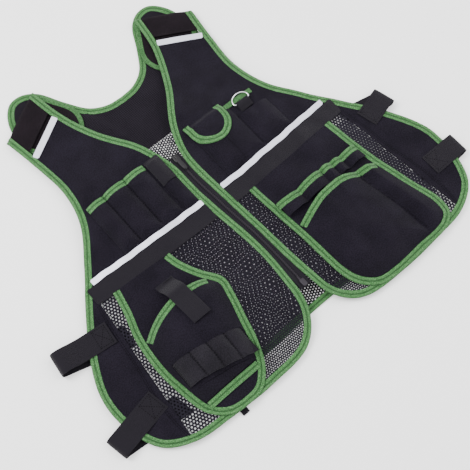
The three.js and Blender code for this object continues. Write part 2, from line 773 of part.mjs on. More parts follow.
function buildPenPocket() {
  const p = PEN_POCKET;
  const low = stripTop(p.outer) - 4;
  const seams = [p.outer, p.first, p.second, p.inner].map((x) => upright(x, low, p.top));
  seams.push(bottomSeam(p.outer, p.inner));
  const puff = puffOf(seams, p.puff, p.reach);
  const shared = {
    ground: above(CLOTH),
    puff,
    xs: linesWith([p.outer - 2, p.outer, p.first, p.second, p.inner, p.inner + 2], 12),
    ys: linesWith([low - 10, low + 12, p.top + 4], 60),
  };
  const rim = p.top - EDGING;
  const outline = chestOutline(p.outer, p.inner, rim - GAP);
  const clear = groundBlock(chestOutline(p.outer, p.inner, p.top), CLOTH);
  const body = pocketSolid({ ...shared, outline, wall: POCKET_WALL, clear });
  add('pen_pocket', body.intersect(FIELDS[-1]), BLACK_CLOTH);
  const edge = rectangle(p.outer, p.inner, rim, p.top);
  const wall = POCKET_WALL + EDGING_PROUD;
  const binding = pocketSolid({ ...shared, outline: edge, wall, clear });
  add('pen_pocket_edging', binding.intersect(FIELDS[-1]), GREEN);
}

function buildSlimPocket() {
  const p = SLIM_POCKET;
  const low = stripTop(p.outer) - 2;
  const seams = [upright(p.outer, low, p.top), upright(p.inner, low, p.top), bottomSeam(p.outer, p.inner)];
  const puff = puffOf(seams, p.puff, p.reach);
  const xs = linesWith([p.outer - 4, p.outer, p.inner, p.inner + 3], 9);
  const ys = linesWith([low - 8, low + 14, p.top, p.top + 6, SLIM_TAB.top + 4], 80);
  const outline = chestOutline(p.outer, p.inner, p.top);
  const clear = groundBlock(rectangle(SLIM_TAB.outer, SLIM_TAB.inner, low, SLIM_TAB.top), CLOTH);
  const solid = pocketSolid({ outline, ground: above(CLOTH), puff, wall: POCKET_WALL, xs, ys, clear });
  add('slim_pocket', solid.intersect(FIELDS[-1]), BLACK_CLOTH);
  const over = (x, y) => (puff(x, Math.min(y, p.top)) + POCKET_WALL + GAP) * (y > p.top + 1 ? 0 : 1);
  const tab = rectangle(SLIM_TAB.outer, SLIM_TAB.inner, SLIM_TAB.bottom, SLIM_TAB.top);
  const tabShape = { outline: tab, ground: above(CLOTH), puff: over, wall: WEBBING, xs, ys, clear };
  const tabSolid = pocketSolid(tabShape);
  add('slim_pocket_tab', tabSolid.intersect(FIELDS[-1]), BLACK_WEB);
}

function buildChestPocket() {
  const p = CHEST_POCKET;
  const low = stripTop(p.outer) - 6;
  const seams = [
    upright(p.inner, low, p.top),
    upright(p.split, low, p.top),
    upright(p.outer, low, p.top),
    bottomSeam(p.inner, p.outer),
  ];
  const puff = puffOf(seams, p.puff, p.reach);
  const xs = linesWith([FLAP.inner - 4, p.inner, p.split, p.outer, p.outer + 4], 18);
  const ys = linesWith([low - 8, low + 14, p.lowTop, p.top, p.top + 8, FLAP.top + 4], 40);
  const clear = groundBlock(rectangle(FLAP.inner, p.outer, low, FLAP.top), CLOTH);
  const outline = [
    ...bottomSeam(p.inner, p.outer),
    point(p.outer, p.lowTop),
    point(p.split, p.lowTop),
    point(p.split, p.top),
    point(p.inner, p.top),
  ];
  const shared = { ground: above(CLOTH), xs, ys, clear };
  const body = pocketSolid({ ...shared, outline, puff, wall: POCKET_WALL });
  add('chest_pocket', body.intersect(FIELDS[1]), BLACK_CLOTH);
  const over = (x, y) => (puff(x, Math.min(y, p.top)) + POCKET_WALL + GAP) * (y > p.top + 1 ? 0 : 1);
  const middle = (FLAP.inner + FLAP.outer) / 2;
  const radius = (FLAP.outer - FLAP.inner) / 2;
  const bend = FLAP.bottom + radius;
  const flap = (shrink) => {
    const arc = range(9).map((i) => {
      const turn = Math.PI + (Math.PI * i) / 8;
      return point(middle + (radius - shrink) * Math.cos(turn), bend + (radius - shrink) * Math.sin(turn));
    });
    return [...arc, point(middle + radius - shrink, FLAP.top), point(middle - radius + shrink, FLAP.top)];
  };
  const cloth = { ...shared, puff: over, wall: CLOTH };
  const lid = pocketSolid({ ...cloth, outline: flap(EDGING + GAP) });
  add('pocket_flap', lid.intersect(FIELDS[1]), BLACK_CLOTH);
  const rim = pocketSolid({ ...cloth, outline: flap(0), wall: CLOTH + EDGING_PROUD });
  add('flap_edging', rim.subtract(prism(flap(EDGING))).intersect(FIELDS[1]), GREEN);
}

// The ring hangs from a webbing loop: its bar lies in the loop, its bow on the green tape
function ringHeight() {
  const spots = [-1, 0, 1].map((k) => base(RING.x + (k * RING.width) / 2, RING.y));
  const loopRadius = RING.wire / 2 + RING.play + WEBBING;
  return Math.max(...spots) + CLOTH + GAP + loopRadius;
}

function buildRing() {
  const half = RING_TAPE.width / 2;
  const tape = layer(
    rectangle(RING_TAPE.from, RING_TAPE.to, RING_TAPE.y - half, RING_TAPE.y + half),
    CLOTH + GAP,
    CLOTH + GAP + POCKET_WALL,
  );
  add('ring_tape', tape, GREEN);
  const z = ringHeight();
  const bore = RING.wire / 2 + RING.play;
  const radius = bore + WEBBING;
  const section = new THREE.Shape();
  section.moveTo(0, radius);
  section.lineTo(-RING_LOOP.length, 0);
  section.lineTo(-RING_LOOP.length, -radius * 3);
  section.lineTo(0, -radius * 3);
  section.lineTo(radius * 0.7, -radius);
  section.absarc(0, 0, radius, -Math.PI / 4, Math.PI / 2, false);
  section.holes.push(new THREE.Path().absarc(0, 0, bore, 0, Math.PI * 2, true));
  const geometry = new THREE.ExtrudeGeometry(section, {
    depth: RING_LOOP.width, bevelEnabled: false, curveSegments: 6,
  });
  geometry.translate(0, 0, -RING_LOOP.width / 2);
  const basis = new THREE.Matrix4().makeBasis(
    new THREE.Vector3(0, 1, 0),
    new THREE.Vector3(0, 0, 1),
    new THREE.Vector3(1, 0, 0),
  );
  basis.setPosition(RING.x, RING.y, z);
  geometry.applyMatrix4(basis);
  const room = RING.width;
  const around = rectangle(RING.x - room, RING.x + room, RING.y - room, RING.y + room);
  add('ring_loop', solidOf(geometry).subtract(groundBlock(around, CLOTH)), BLACK_WEB);
  add('d_ring', ringSolid(z), CHROME);
}

function ringSolid(z) {
  const across = RING.width / 2 - RING.wire / 2;
  const path = new THREE.CurvePath();
  const at = (x, y) => new THREE.Vector3(RING.x + x, RING.y + y, z);
  const corner = 3;
  path.add(new THREE.LineCurve3(at(-across + corner, 0), at(across - corner, 0)));
  path.add(new THREE.QuadraticBezierCurve3(at(across - corner, 0), at(across, 0), at(across, corner)));
  const reach = RING.reach - RING.wire / 2;
  const bow = new THREE.CubicBezierCurve3(
    at(across, corner),
    at(across, reach * 1.28),
    at(-across, reach * 1.28),
    at(-across, corner),
  );
  path.add(bow);
  path.add(new THREE.QuadraticBezierCurve3(at(-across, corner), at(-across, 0), at(-across + corner, 0)));
  const round = range(6).map((i) => {
    const turn = (i * Math.PI * 2) / 6;
    return point((Math.cos(turn) * RING.wire) / 2, (Math.sin(turn) * RING.wire) / 2);
  });
  path.autoClose = false;
  const closed = closedCurve(path, 24);
  return solidOf(new THREE.ExtrudeGeometry(new THREE.Shape(round), { steps: 24, extrudePath: closed }));
}

function closedCurve(path, count) {
  const points = range(count).map((i) => path.getPointAt(i / count));
  return new THREE.CatmullRomCurve3(points, true, 'centripetal');
}

// Pocket panels below the belt lie on the front, clear of its edging
const PANEL_LOW = CLOTH + EDGING_PROUD + GAP;
const PANEL_TOP = PANEL_LOW + CLOTH;

function buildPanel(name, side, outline) {
  const belt = prism(belowBelt(side, -BELT_WIDTH - GAP));
  const cloth = layer(inset(outline, EDGING + GAP), PANEL_LOW, PANEL_TOP).intersect(belt);
  add(name, cloth, BLACK_CLOTH);
  const edging = band(outline, EDGING, PANEL_LOW, PANEL_TOP + EDGING_PROUD).intersect(belt);
  add(`${name}_edging`, edging, GREEN);
}

// Cuts an outline by one curve: everything below it
function belowCurve(rows, drop) {
  const curve = curveThrough(placed(rows), 2).map((p) => point(p.x, p.y - drop));
  const first = curve[0];
  const last = curve[curve.length - 1];
  return prism([...curve, point(last.x, BELOW_HEM), point(first.x, BELOW_HEM)]);
}

function buildLargePocket() {
  const outline = curveThrough(placed(LARGE_PANEL_EDGE), 2);
  buildPanel('large_panel', 1, outline);
  const inner = inset(outline, EDGING + GAP * 2);
  const p = LARGE_POCKET;
  const split = [point(p.splitTop, p.mouth + 20), point(p.splitBottom, 0)];
  const puff = puffOf([inner, split], p.puff, p.reach);
  const grid = gridOver(inner, PITCH / 2);
  const ground = above(PANEL_TOP);
  const clear = groundBlock(inner, PANEL_TOP);
  const shared = { outline: inner, ground, puff, ...grid, clear };
  const shell = pocketSolid({ ...shared, wall: POCKET_WALL });
  add('large_pocket', shell.intersect(belowCurve(LARGE_MOUTH, EDGING + GAP)), BLACK_CLOTH);
  const rim = pocketSolid({ ...shared, wall: POCKET_WALL + EDGING_PROUD });
  const edge = rim.intersect(belowCurve(LARGE_MOUTH, 0)).subtract(belowCurve(LARGE_MOUTH, EDGING));
  add('large_pocket_edging', edge, GREEN);
  buildToolLoops(inner, ground, clear);
}

function buildToolLoops(inner, ground, clear) {
  const { stops, margin } = LOOPS;
  const first = stops[0] - margin;
  const last = stops[stops.length - 1] + margin;
  const seams = stops.map((x) => upright(x, LOOPS.bottom - margin, LOOPS.top + margin));
  const puff = puffOf(seams, LOOPS.puff, LOOPS.reach);
  const xs = linesWith([first - margin, ...stops, last + margin], EDGING);
  const ys = [LOOPS.bottom - margin, (LOOPS.bottom + LOOPS.top) / 2, LOOPS.top + margin];
  const shared = { ground, puff, xs, ys, clear };
  const rim = LOOPS.top - EDGING;
  const reach = (low, high) => rectangle(first, last, low, high);
  const inside = prism(inner);
  const loops = pocketSolid({ ...shared, outline: reach(LOOPS.bottom, rim - GAP), wall: POCKET_WALL });
  add('tool_loops', loops.intersect(inside), BLACK_CLOTH);
  const wall = POCKET_WALL + EDGING_PROUD;
  const edge = pocketSolid({ ...shared, outline: reach(rim, LOOPS.top), wall });
  add('tool_loops_edging', edge.intersect(inside), GREEN);
}

function buildToolPouch() {
  const outline = curveThrough(placed(TOOL_PANEL_EDGE), 2);
  buildPanel('tool_panel', -1, outline);
  const inner = inset(outline, EDGING + GAP * 2);
  const floorLine = [point(-HALF_WIDTH, POUCH.base), point(0, POUCH.base)];
  const puff = puffOf([inner, floorLine], POUCH.puff, POUCH.reach);
  const grid = gridOver(inner, PITCH / 2);
  const ground = above(PANEL_TOP);
  const clear = groundBlock(inner, PANEL_TOP);
  const shared = { outline: inner, ground, puff, ...grid, clear };
  const below = (top) => prism(rectangle(-HALF_WIDTH, 0, BELOW_HEM, top));
  const shell = pocketSolid({ ...shared, wall: POCKET_WALL });
  const open = shell.intersect(belowCurve(POUCH_MOUTH, EDGING + GAP));
  add('tool_pouch', open.subtract(below(POUCH.base + GAP)), BLACK_CLOTH);
  const rim = pocketSolid({ ...shared, wall: POCKET_WALL + EDGING_PROUD });
  const mouth = rim.intersect(belowCurve(POUCH_MOUTH, 0)).subtract(belowCurve(POUCH_MOUTH, EDGING));
  add('pouch_mouth_edging', mouth, GREEN);
  const baseBand = rectangle(-HALF_WIDTH, 0, POUCH.base - EDGING, POUCH.base);
  const baseEdge = layer(baseBand, PANEL_TOP + GAP, PANEL_TOP + GAP + POCKET_WALL + EDGING_PROUD);
  add('pouch_base_edging', baseEdge.intersect(prism(inner)), GREEN);
  const pouchTop = (x, y) => ground(x, y) + GAP + puff(x, y) + POCKET_WALL + EDGING_PROUD;
  const pouchBlock = block(grid.xs, grid.ys, above(-CLOTH), (x, y) => pouchTop(x, y) + GAP);
  buildPouchTab(pouchTop, clear);
  buildBitLoops(pouchTop, pouchBlock);
}

// Webbing tab sewn to the panel above the mouth and closed down over the pouch
function buildPouchTab(pouchTop, clear) {
  const p = POUCH_TAB;
  const lean = (y) => (y - p.top) * p.slant;
  const outline = [
    point(p.outer + lean(p.bottom), p.bottom),
    point(p.inner + lean(p.bottom), p.bottom),
    point(p.inner, p.top),
    point(p.outer, p.top),
  ];
  const start = above(PANEL_TOP);
  const step = PITCH / 2;
  const pastMouth = Math.ceil(POUCH.mouth / step) * step;
  const seat = p.top - EDGING / 2;
  const rise = (y) => smooth((seat - y) / (seat - pastMouth));
  const under = (x, y) => mix(start(x, y) + GAP, pouchTop(x, y) + GAP, rise(y));
  const xs = linesBetween(p.outer, p.inner, step);
  const onPouch = linesBetween(p.bottom, pastMouth - step, step).filter((y) => y < pastMouth);
  const ys = [...onPouch, ...linesWith([pastMouth, seat, p.top + 2], (seat - pastMouth) / 3)];
  const strip = block(xs, ys, under, (x, y) => under(x, y) + WEBBING).intersect(prism(outline));
  add('pouch_tab', strip.subtract(clear), BLACK_WEB);
}

// Elastic loops for bits across the lower pouch
function buildBitLoops(pouchTop, pouchBlock) {
  const p = BIT_LOOPS;
  const width = p.inner - p.outer;
  const middle = (x) => p.y + (x - (p.outer + p.inner) / 2) * p.slope;
  const ripple = (x) => p.puff * Math.abs(Math.sin((Math.PI * p.count * (x - p.outer)) / width));
  const xs = linesWith([p.outer - 4, p.outer, p.inner, p.inner + 4], width / p.count / 3);
  const ys = linesWith([p.y - p.height, p.y + p.height], 20);
  const outline = [
    point(p.outer, middle(p.outer) - p.height / 2),
    point(p.inner, middle(p.inner) - p.height / 2),
    point(p.inner, middle(p.inner) + p.height / 2),
    point(p.outer, middle(p.outer) + p.height / 2),
  ];
  const under = (x, y) => pouchTop(x, y) + GAP + ripple(x);
  const outer = block(xs, ys, (x, y) => pouchTop(x, y) - 2, (x, y) => under(x, y) + POCKET_WALL);
  const hollow = block(xs, ys, (x, y) => pouchTop(x, y) - 4, under);
  const solid = outer.intersect(prism(outline)).subtract(hollow).subtract(pouchBlock);
  add('bit_loops', solid, BLACK_WEB);
}

buildBack();
for (const side of [1, -1]) {
  buildFront(side);
  buildPad(side);
}
buildZip();
buildStraps();
buildPenPocket();
buildSlimPocket();
buildChestPocket();
buildRing();
buildLargePocket();
buildToolPouch();

// The origin is the middle of the footprint, on the floor
const box = new THREE.Box3().setFromObject(group);
const centre = box.getCenter(new THREE.Vector3());
group.position.set(-centre.x, -centre.y, -box.min.z);

export default group;
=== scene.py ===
# Utility work vest, zipped shut and lying face up: its visible surfaces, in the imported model's frame.
# Plan sizes are millimetres: x towards the wearer's left, y from the hem towards the neck.
import math
import random

import bpy
import numpy as np
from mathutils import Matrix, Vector
from mathutils.geometry import delaunay_2d_cdt


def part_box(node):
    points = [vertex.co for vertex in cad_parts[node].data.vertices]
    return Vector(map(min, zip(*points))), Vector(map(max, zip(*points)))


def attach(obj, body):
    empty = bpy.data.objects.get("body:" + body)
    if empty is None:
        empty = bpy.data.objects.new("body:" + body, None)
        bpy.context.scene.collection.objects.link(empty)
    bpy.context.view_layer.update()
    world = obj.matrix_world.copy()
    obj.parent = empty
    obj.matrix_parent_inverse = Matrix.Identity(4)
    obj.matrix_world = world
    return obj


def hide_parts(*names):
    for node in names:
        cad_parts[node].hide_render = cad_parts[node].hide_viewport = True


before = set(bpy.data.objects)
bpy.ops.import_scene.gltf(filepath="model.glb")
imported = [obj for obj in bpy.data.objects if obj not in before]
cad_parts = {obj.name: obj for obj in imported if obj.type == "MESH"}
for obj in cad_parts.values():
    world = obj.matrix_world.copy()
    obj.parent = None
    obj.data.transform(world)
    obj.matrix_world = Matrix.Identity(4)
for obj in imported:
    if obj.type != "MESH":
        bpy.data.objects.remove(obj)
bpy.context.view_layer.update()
random.seed(11)

# Driving sizes of the vest
LENGTH = 640.0
HALF_WIDTH = 350.0
BACK_HALF = 226.0
EDGING = 12.0
CLOTH = 2.0
PANEL_LOW = 2.9
PANEL_TOP = 4.6
WALL = 1.4
WEBBING = 1.6
EDGE_LIFT = 7.0
DOME = 16.0
DOME_HALF = 258.0
HEM_RAMP = 90.0
SHOULDER_LIFT = 9.0
SHOULDER_FLAT = 95.0
SHOULDER_RAMP = 110.0
YOKE_HEIGHT = LENGTH * 0.675
BELT_HEIGHT = LENGTH * 0.4453
BELT_RISE = 15.0
BELT_WIDTH = 31.0
STRIP_WIDTH = 11.0
PAD_REACH = 50.0
PAD_TAIL = 112.0
PAD_TAIL_STRAIGHT = 63.0
SHOULDER_INNER = (110.0, LENGTH)
SHOULDER_OUTER = (200.0, LENGTH - 51)
ZIP_BOTTOM = 78.0
ZIP_TOP = 384.0
STRAP_WIDTH = 38.0
NET_CHANGE = 160.0
UNDER_TAPE = EDGING - 4
PAD_GAP = 1.4
PAD_RISE = 3.0
PAD_HALF_THICK = 1.5
# The zip bends towards the wearer's right by the sway, over the run above the start
ZIP_SWAY = 11.0
ZIP_SWAY_START = 150.0
ZIP_SWAY_RUN = 190.0
ZIP_SWAY_FADE = 90.0
# How far the cloths reach behind the belt, and the heights that pockets and flaps start from
CHEST_BEHIND_BELT = 14.0
SKIRT_BEHIND_BELT = 16.0
CHEST_GROUND = 2.3
FLAP_GROUND = 2.5
PANEL_GROUND = PANEL_TOP + 0.4
POUCH_BASE = LENGTH * 0.067
SEAM_HALF_GAP = 0.9
SEAM_OVER = 1.6
TOOTH_PITCH = 1.6
TOOTH_STRETCH = 1.1
# Layers: lower and upper side above the underside of the cloth that carries them
BACK_NET_LAYER = (0.7, 1.3)
FRONT_NET_LAYER = (0.9, 1.5)
CLOTH_LAYER = (0.7, 2.0)
ZIP_TAPE_LAYER = (0.3, 1.1)
BELT_LAYER = (2.2, 3.9)
REFLECTOR_LAYER = (2.2, 3.2)
RING_TAPE_LAYER = (2.2, 3.7)
PANEL_LAYER = (PANEL_LOW + 0.2, PANEL_TOP - 0.1)
# Nets: pitch of the cells and radius of a full hole
BACK_NET = (4.8, 1.8)
FINE_NET = (3.9, 1.15)
SIDE_NET = (5.4, 1.6)
SIDES = ((1, "left"), (-1, "right"))

# Outlines as (across, up), shares of the half width and the length
FRONT_EDGE = [
    (0.314, 1.000), (0.280, 0.895), (0.194, 0.778), (0.077, 0.667), (0.029, 0.581), (0.026, 0.469),
    (0.026, 0.188), (0.063, 0.072), (0.171, 0.014), (0.400, 0.000), (0.614, 0.005), (0.803, 0.018),
    (0.930, 0.062), (0.991, 0.156), (0.986, 0.242), (0.909, 0.339), (0.789, 0.438), (0.674, 0.523),
    (0.566, 0.614), (0.526, 0.711), (0.543, 0.820), (0.571, 0.920),
]
BACK_EDGE = [
    (0.000, 0.841), (0.120, 0.846), (0.240, 0.870), (0.350, 0.928), (0.455, 0.994), (0.560, 1.019),
    (0.670, 1.017), (0.770, 0.975), (0.815, 0.890), (0.790, 0.770), (0.800, 0.660), (0.900, 0.550),
    (0.985, 0.450), (1.000, 0.300), (0.985, 0.150), (0.925, 0.085), (0.800, 0.070), (0.000, 0.070),
]
SIDE_SEAM = [(0.720, 0.470), (0.757, 0.364), (0.780, 0.253), (0.809, 0.150), (0.812, 0.080), (0.795, -0.020)]
LARGE_PANEL_EDGE = [
    (0.110, 0.450), (0.122, 0.345), (0.141, 0.205), (0.150, 0.100), (0.185, 0.048), (0.265, 0.010),
    (0.371, 0.001), (0.520, 0.004), (0.690, 0.010), (0.752, 0.034), (0.764, 0.078), (0.740, 0.140),
    (0.686, 0.260), (0.663, 0.350), (0.645, 0.460),
]
TOOL_PANEL_EDGE = [
    (-0.365, 0.450), (-0.342, 0.370), (-0.300, 0.318), (-0.248, 0.268), (-0.262, 0.220), (-0.295, 0.155),
    (-0.326, 0.095), (-0.368, 0.045), (-0.440, 0.008), (-0.530, 0.001), (-0.620, 0.012), (-0.690, 0.050),
    (-0.722, 0.120), (-0.735, 0.200), (-0.720, 0.290), (-0.680, 0.365), (-0.645, 0.460),
]
POUCH_MOUTH = [
    (-0.760, 0.250), (-0.700, 0.268), (-0.620, 0.287), (-0.500, 0.302), (-0.400, 0.303), (-0.320, 0.297),
    (-0.200, 0.262),
]
LARGE_MOUTH = [
    (0.090, 0.225), (0.151, 0.243), (0.240, 0.259), (0.330, 0.272), (0.450, 0.275), (0.540, 0.266),
    (0.640, 0.255), (0.760, 0.240),
]
# Main folds: place as shares, direction in degrees, half length, half width and height
FOLDS = [
    (-0.46, 0.72, 62, 95, 30, 4), (0.36, 0.70, 118, 95, 34, -5), (-0.16, 0.50, 88, 60, 30, -3),
    (0.16, 0.30, 95, 90, 32, -4), (-0.16, 0.18, 70, 80, 32, 5), (0.52, 0.50, 20, 70, 30, 3),
]
# Straps: name, sewn end, fold, anchored end, swell of the folded end
STRAPS = [
    ("side_strap_right_upper", (-0.774, 0.349), (-1.046, 0.367), (-0.62, 0.300), 9.0),
    ("side_strap_right_lower", (-0.806, 0.150), (-1.074, 0.122), (-0.62, 0.100), 3.0),
    ("side_strap_left_upper", (0.800, 0.360), (0.958, 0.381), (0.62, 0.420), 3.0),
    ("side_strap_left_lower", (0.851, 0.156), (1.040, 0.155), (0.62, 0.140), 2.0),
]

edging_low, edging_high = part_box("back_edging")
SHIFT_X = (edging_low.x + edging_high.x) / 2
SHIFT_Y = edging_low.y - BACK_EDGE[-1][1] * LENGTH / 1000
YOKE_CREASE = np.array([(-66.0, 549.0), (-30.0, 432.0)])
# One zip tooth from above, and its rings as height and share of the full outline
TOOTH_RING = [(-2.9, 0.0), (-1.6, 0.62), (1.1, 0.62), (1.7, 0.0), (1.1, -0.62), (-1.6, -0.62)]
TOOTH_LEVELS = [(1.0, 1.0), (2.2, 1.0), (2.75, 0.62)]


# Small maths
def clamp01(t):
    return np.clip(t, 0.0, 1.0)


def smooth(t):
    t = clamp01(t)
    return t * t * (3 - 2 * t)


def placed(rows, width=HALF_WIDTH):
    return np.array([(across * width, up * LENGTH) for across, up in rows])


def pairs(x, y):
    """Points from their coordinates, each of them a row of numbers or one number for all."""
    return np.stack(np.broadcast_arrays(x, y), axis=1)


def unit(v):
    return v / np.maximum(np.linalg.norm(v, axis=-1, keepdims=True), 1e-9)


def travelled(p):
    """Length along a line up to each of its points."""
    return np.concatenate([[0], np.cumsum(np.linalg.norm(np.diff(p, axis=0), axis=1))])


def arc(centre, radii, start, end, count):
    a = np.linspace(start, end, count)
    return pairs(centre[0] + radii[0] * np.cos(a), centre[1] + radii[1] * np.sin(a))


def rectangle(x0, x1, y0, y1):
    return np.array([(x0, y0), (x1, y0), (x1, y1), (x0, y1)])


def curve_through(points, per_span=8):
    """Centripetal Catmull-Rom curve through plan points."""
    p = np.asarray(points, float)
    p = np.vstack([2 * p[0] - p[1], p, 2 * p[-1] - p[-2]])
    out = []
    for i in range(1, len(p) - 2):
        knots = [0.0]
        for k in range(3):
            knots.append(knots[-1] + math.sqrt(np.linalg.norm(p[i + k] - p[i + k - 1])))
        t0, t1, t2, t3 = knots
        for step in range(per_span):
            t = t1 + (t2 - t1) * step / per_span
            a1 = (t1 - t) / (t1 - t0) * p[i - 1] + (t - t0) / (t1 - t0) * p[i]
            a2 = (t2 - t) / (t2 - t1) * p[i] + (t - t1) / (t2 - t1) * p[i + 1]
            a3 = (t3 - t) / (t3 - t2) * p[i + 1] + (t - t2) / (t3 - t2) * p[i + 2]
            b1 = (t2 - t) / (t2 - t0) * a1 + (t - t0) / (t2 - t0) * a2
            b2 = (t3 - t) / (t3 - t1) * a2 + (t - t1) / (t3 - t1) * a3
            out.append((t2 - t) / (t2 - t1) * b1 + (t - t1) / (t2 - t1) * b2)
    out.append(p[-2])
    return np.array(out)


def resample(points, step, closed=False):
    p = np.asarray(points, float)
    if closed:
        p = np.vstack([p, p[:1]])
    along = travelled(p)
    count = max(int(round(along[-1] / step)), 2)
    wanted = np.linspace(0, along[-1], count + 1)
    if closed:
        wanted = wanted[:-1]
    return np.stack([np.interp(wanted, along, p[:, k]) for k in range(p.shape[1])], axis=1)


def signed_area(p):
    q = np.roll(p, -1, axis=0)
    return float((p[:, 0] * q[:, 1] - q[:, 0] * p[:, 1]).sum() / 2)


def turning(outline):
    return 1 if signed_area(outline) > 0 else -1


def left_normals(p, closed):
    """Unit normals to the left of the direction of travel."""
    t = unit(np.roll(p, -1, axis=0) - np.roll(p, 1, axis=0) if closed else np.gradient(p, axis=0))
    return pairs(-t[:, 1], t[:, 0])


def inset(outline, distance):
    return outline + left_normals(outline, True) * distance * turning(outline)


def inside(points, polygon):
    x, y = points[:, 0], points[:, 1]
    a, b = polygon, np.roll(polygon, -1, axis=0)
    result = np.zeros(len(points), bool)
    for (x0, y0), (x1, y1) in zip(a, b):
        if y0 == y1:
            continue
        crosses = (y0 > y) != (y1 > y)
        result ^= crosses & (x < (x1 - x0) * (y - y0) / (y1 - y0) + x0)
    return result


def distance_to(x, y, line):
    p = pairs(np.ravel(x), np.ravel(y))
    nearest = np.full(len(p), 1e9)
    for a, b in zip(line[:-1], line[1:]):
        d = b - a
        t = clamp01(((p - a) @ d) / max(d @ d, 1e-9))
        nearest = np.minimum(nearest, np.linalg.norm(p - a - t[:, None] * d, axis=1))
    return nearest.reshape(np.shape(x))


def closed_line(p):
    return np.vstack([p, p[:1]])


# Shoulder fold: t runs along the fold from the neck, s down from it
def fold_frame(side):
    inner = np.array([SHOULDER_INNER[0] * side, SHOULDER_INNER[1]])
    outer = np.array([SHOULDER_OUTER[0] * side, SHOULDER_OUTER[1]])
    along = outer - inner
    width = np.linalg.norm(along)
    along = along / width
    down = np.array([along[1], -along[0]]) * side
    return inner, along, down, width


FOLD_FRAMES = {side: fold_frame(side) for side, _ in SIDES}


def to_fold(side, p):
    inner, along, down, _ = FOLD_FRAMES[side]
    return pairs((p - inner) @ along, (p - inner) @ down)


def from_fold(side, q):
    inner, along, down, _ = FOLD_FRAMES[side]
    return inner + q[:, :1] * along + q[:, 1:] * down


def fold_distance(x, y):
    out = np.zeros_like(x)
    for side in (1, -1):
        inner, _, down, _ = FOLD_FRAMES[side]
        mask = (x >= 0) if side > 0 else (x < 0)
        out = np.where(mask, (x - inner[0]) * down[0] + (y - inner[1]) * down[1], out)
    return out


# Wrinkles: a few seeded waves of different length and direction, strongest in the loose cloth
WAVES = [
    (random.uniform(0, math.pi), random.uniform(26, 90), random.uniform(0.12, 0.42), random.uniform(0, 6.3))
    for _ in range(16)
]


def wrinkle(x, y):
    total = np.zeros_like(x)
    for turn, length, height, phase in WAVES:
        u = (x * math.cos(turn) + y * math.sin(turn)) * 2 * math.pi / length
        v = (y * math.cos(turn) - x * math.sin(turn)) * 2 * math.pi / (length * 2.7)
        total += height * np.sin(u + phase + 0.8 * np.sin(v)) * np.cos(v + phase)
    return total


def lift(x, y):
    """Height of the underside of the fronts above the floor."""
    fall = 1 - np.minimum(np.abs(x) / DOME_HALF, 1) ** 2.5
    folds = np.zeros_like(x)
    for across, up, turn, along, wide, height in FOLDS:
        a = math.radians(turn)
        dx, dy = x - across * HALF_WIDTH, y - up * LENGTH
        u = (dx * math.cos(a) + dy * math.sin(a)) / along
        v = (dy * math.cos(a) - dx * math.sin(a)) / wide
        folds += height * np.exp(-u * u - v * v)
    loose = EDGE_LIFT + (DOME + folds) * fall * smooth(y / HEM_RAMP)
    settled = smooth((fold_distance(x, y) - SHOULDER_FLAT) / SHOULDER_RAMP)
    return SHOULDER_LIFT + (loose - SHOULDER_LIFT) * settled + wrinkle(x, y) * (0.35 + 0.65 * settled)


def to_metres(x, y, z):
    return np.stack([x / 1000 + SHIFT_X, y / 1000 + SHIFT_Y, z / 1000], axis=-1)


# Surfaces: plan place and height above the cloth's underside, to a point in metres
def on_front(x, y, h):
    return to_metres(x, y, lift(x, y) + h)


def on_back(x, y, h):
    return to_metres(x, y, h + 0.0 * x)


def on_pad(side):
    """Plan is t and u, the way over the fold: above 0 on the front, below 0 behind and under."""
    bottom = CLOTH + PAD_GAP
    top = SHOULDER_LIFT + PAD_RISE
    middle = (top + bottom) / 2
    radius = (top - bottom) / 2
    turn_length = math.pi * radius

    def surface(t, u, h):
        out = h - PAD_HALF_THICK
        angle = clamp01(-u / turn_length) * math.pi
        s_arc = radius - (radius + out) * np.sin(angle)
        z_arc = middle + (radius + out - PAD_HALF_THICK) * np.cos(angle)
        s = np.where(u >= 0, u + radius, np.where(u <= -turn_length, -u - turn_length + radius, s_arc))
        plan = from_fold(side, pairs(np.ravel(t), np.ravel(s)))
        z = np.where(u >= 0, middle + radius + out - PAD_HALF_THICK, z_arc)
        z = np.where(u <= -turn_length, middle - radius - out + PAD_HALF_THICK, z)
        return to_metres(plan[:, 0], plan[:, 1], np.ravel(z))

    return surface, radius, turn_length


def height_of(value, x, y):
    return value(x, y) if callable(value) else np.full(np.shape(x), float(value))


# Mesh making
def finish_piece(obj, node_name=None, body="vest"):
    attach(obj, body)
    if node_name:
        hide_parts(node_name)
    return obj


def enclosed(mesh):
    """Signed volume inside a closed mesh."""
    mesh.calc_loop_triangles()
    points = np.zeros(len(mesh.vertices) * 3, np.float32)
    mesh.vertices.foreach_get("co", points)
    points = points.reshape(-1, 3).astype(float)
    corners = np.zeros(len(mesh.loop_triangles) * 3, np.int32)
    mesh.loop_triangles.foreach_get("vertices", corners)
    a, b, c = (points[corners.reshape(-1, 3)[:, k]] - points[0] for k in range(3))
    return float((a * np.cross(b, c)).sum() / 6)


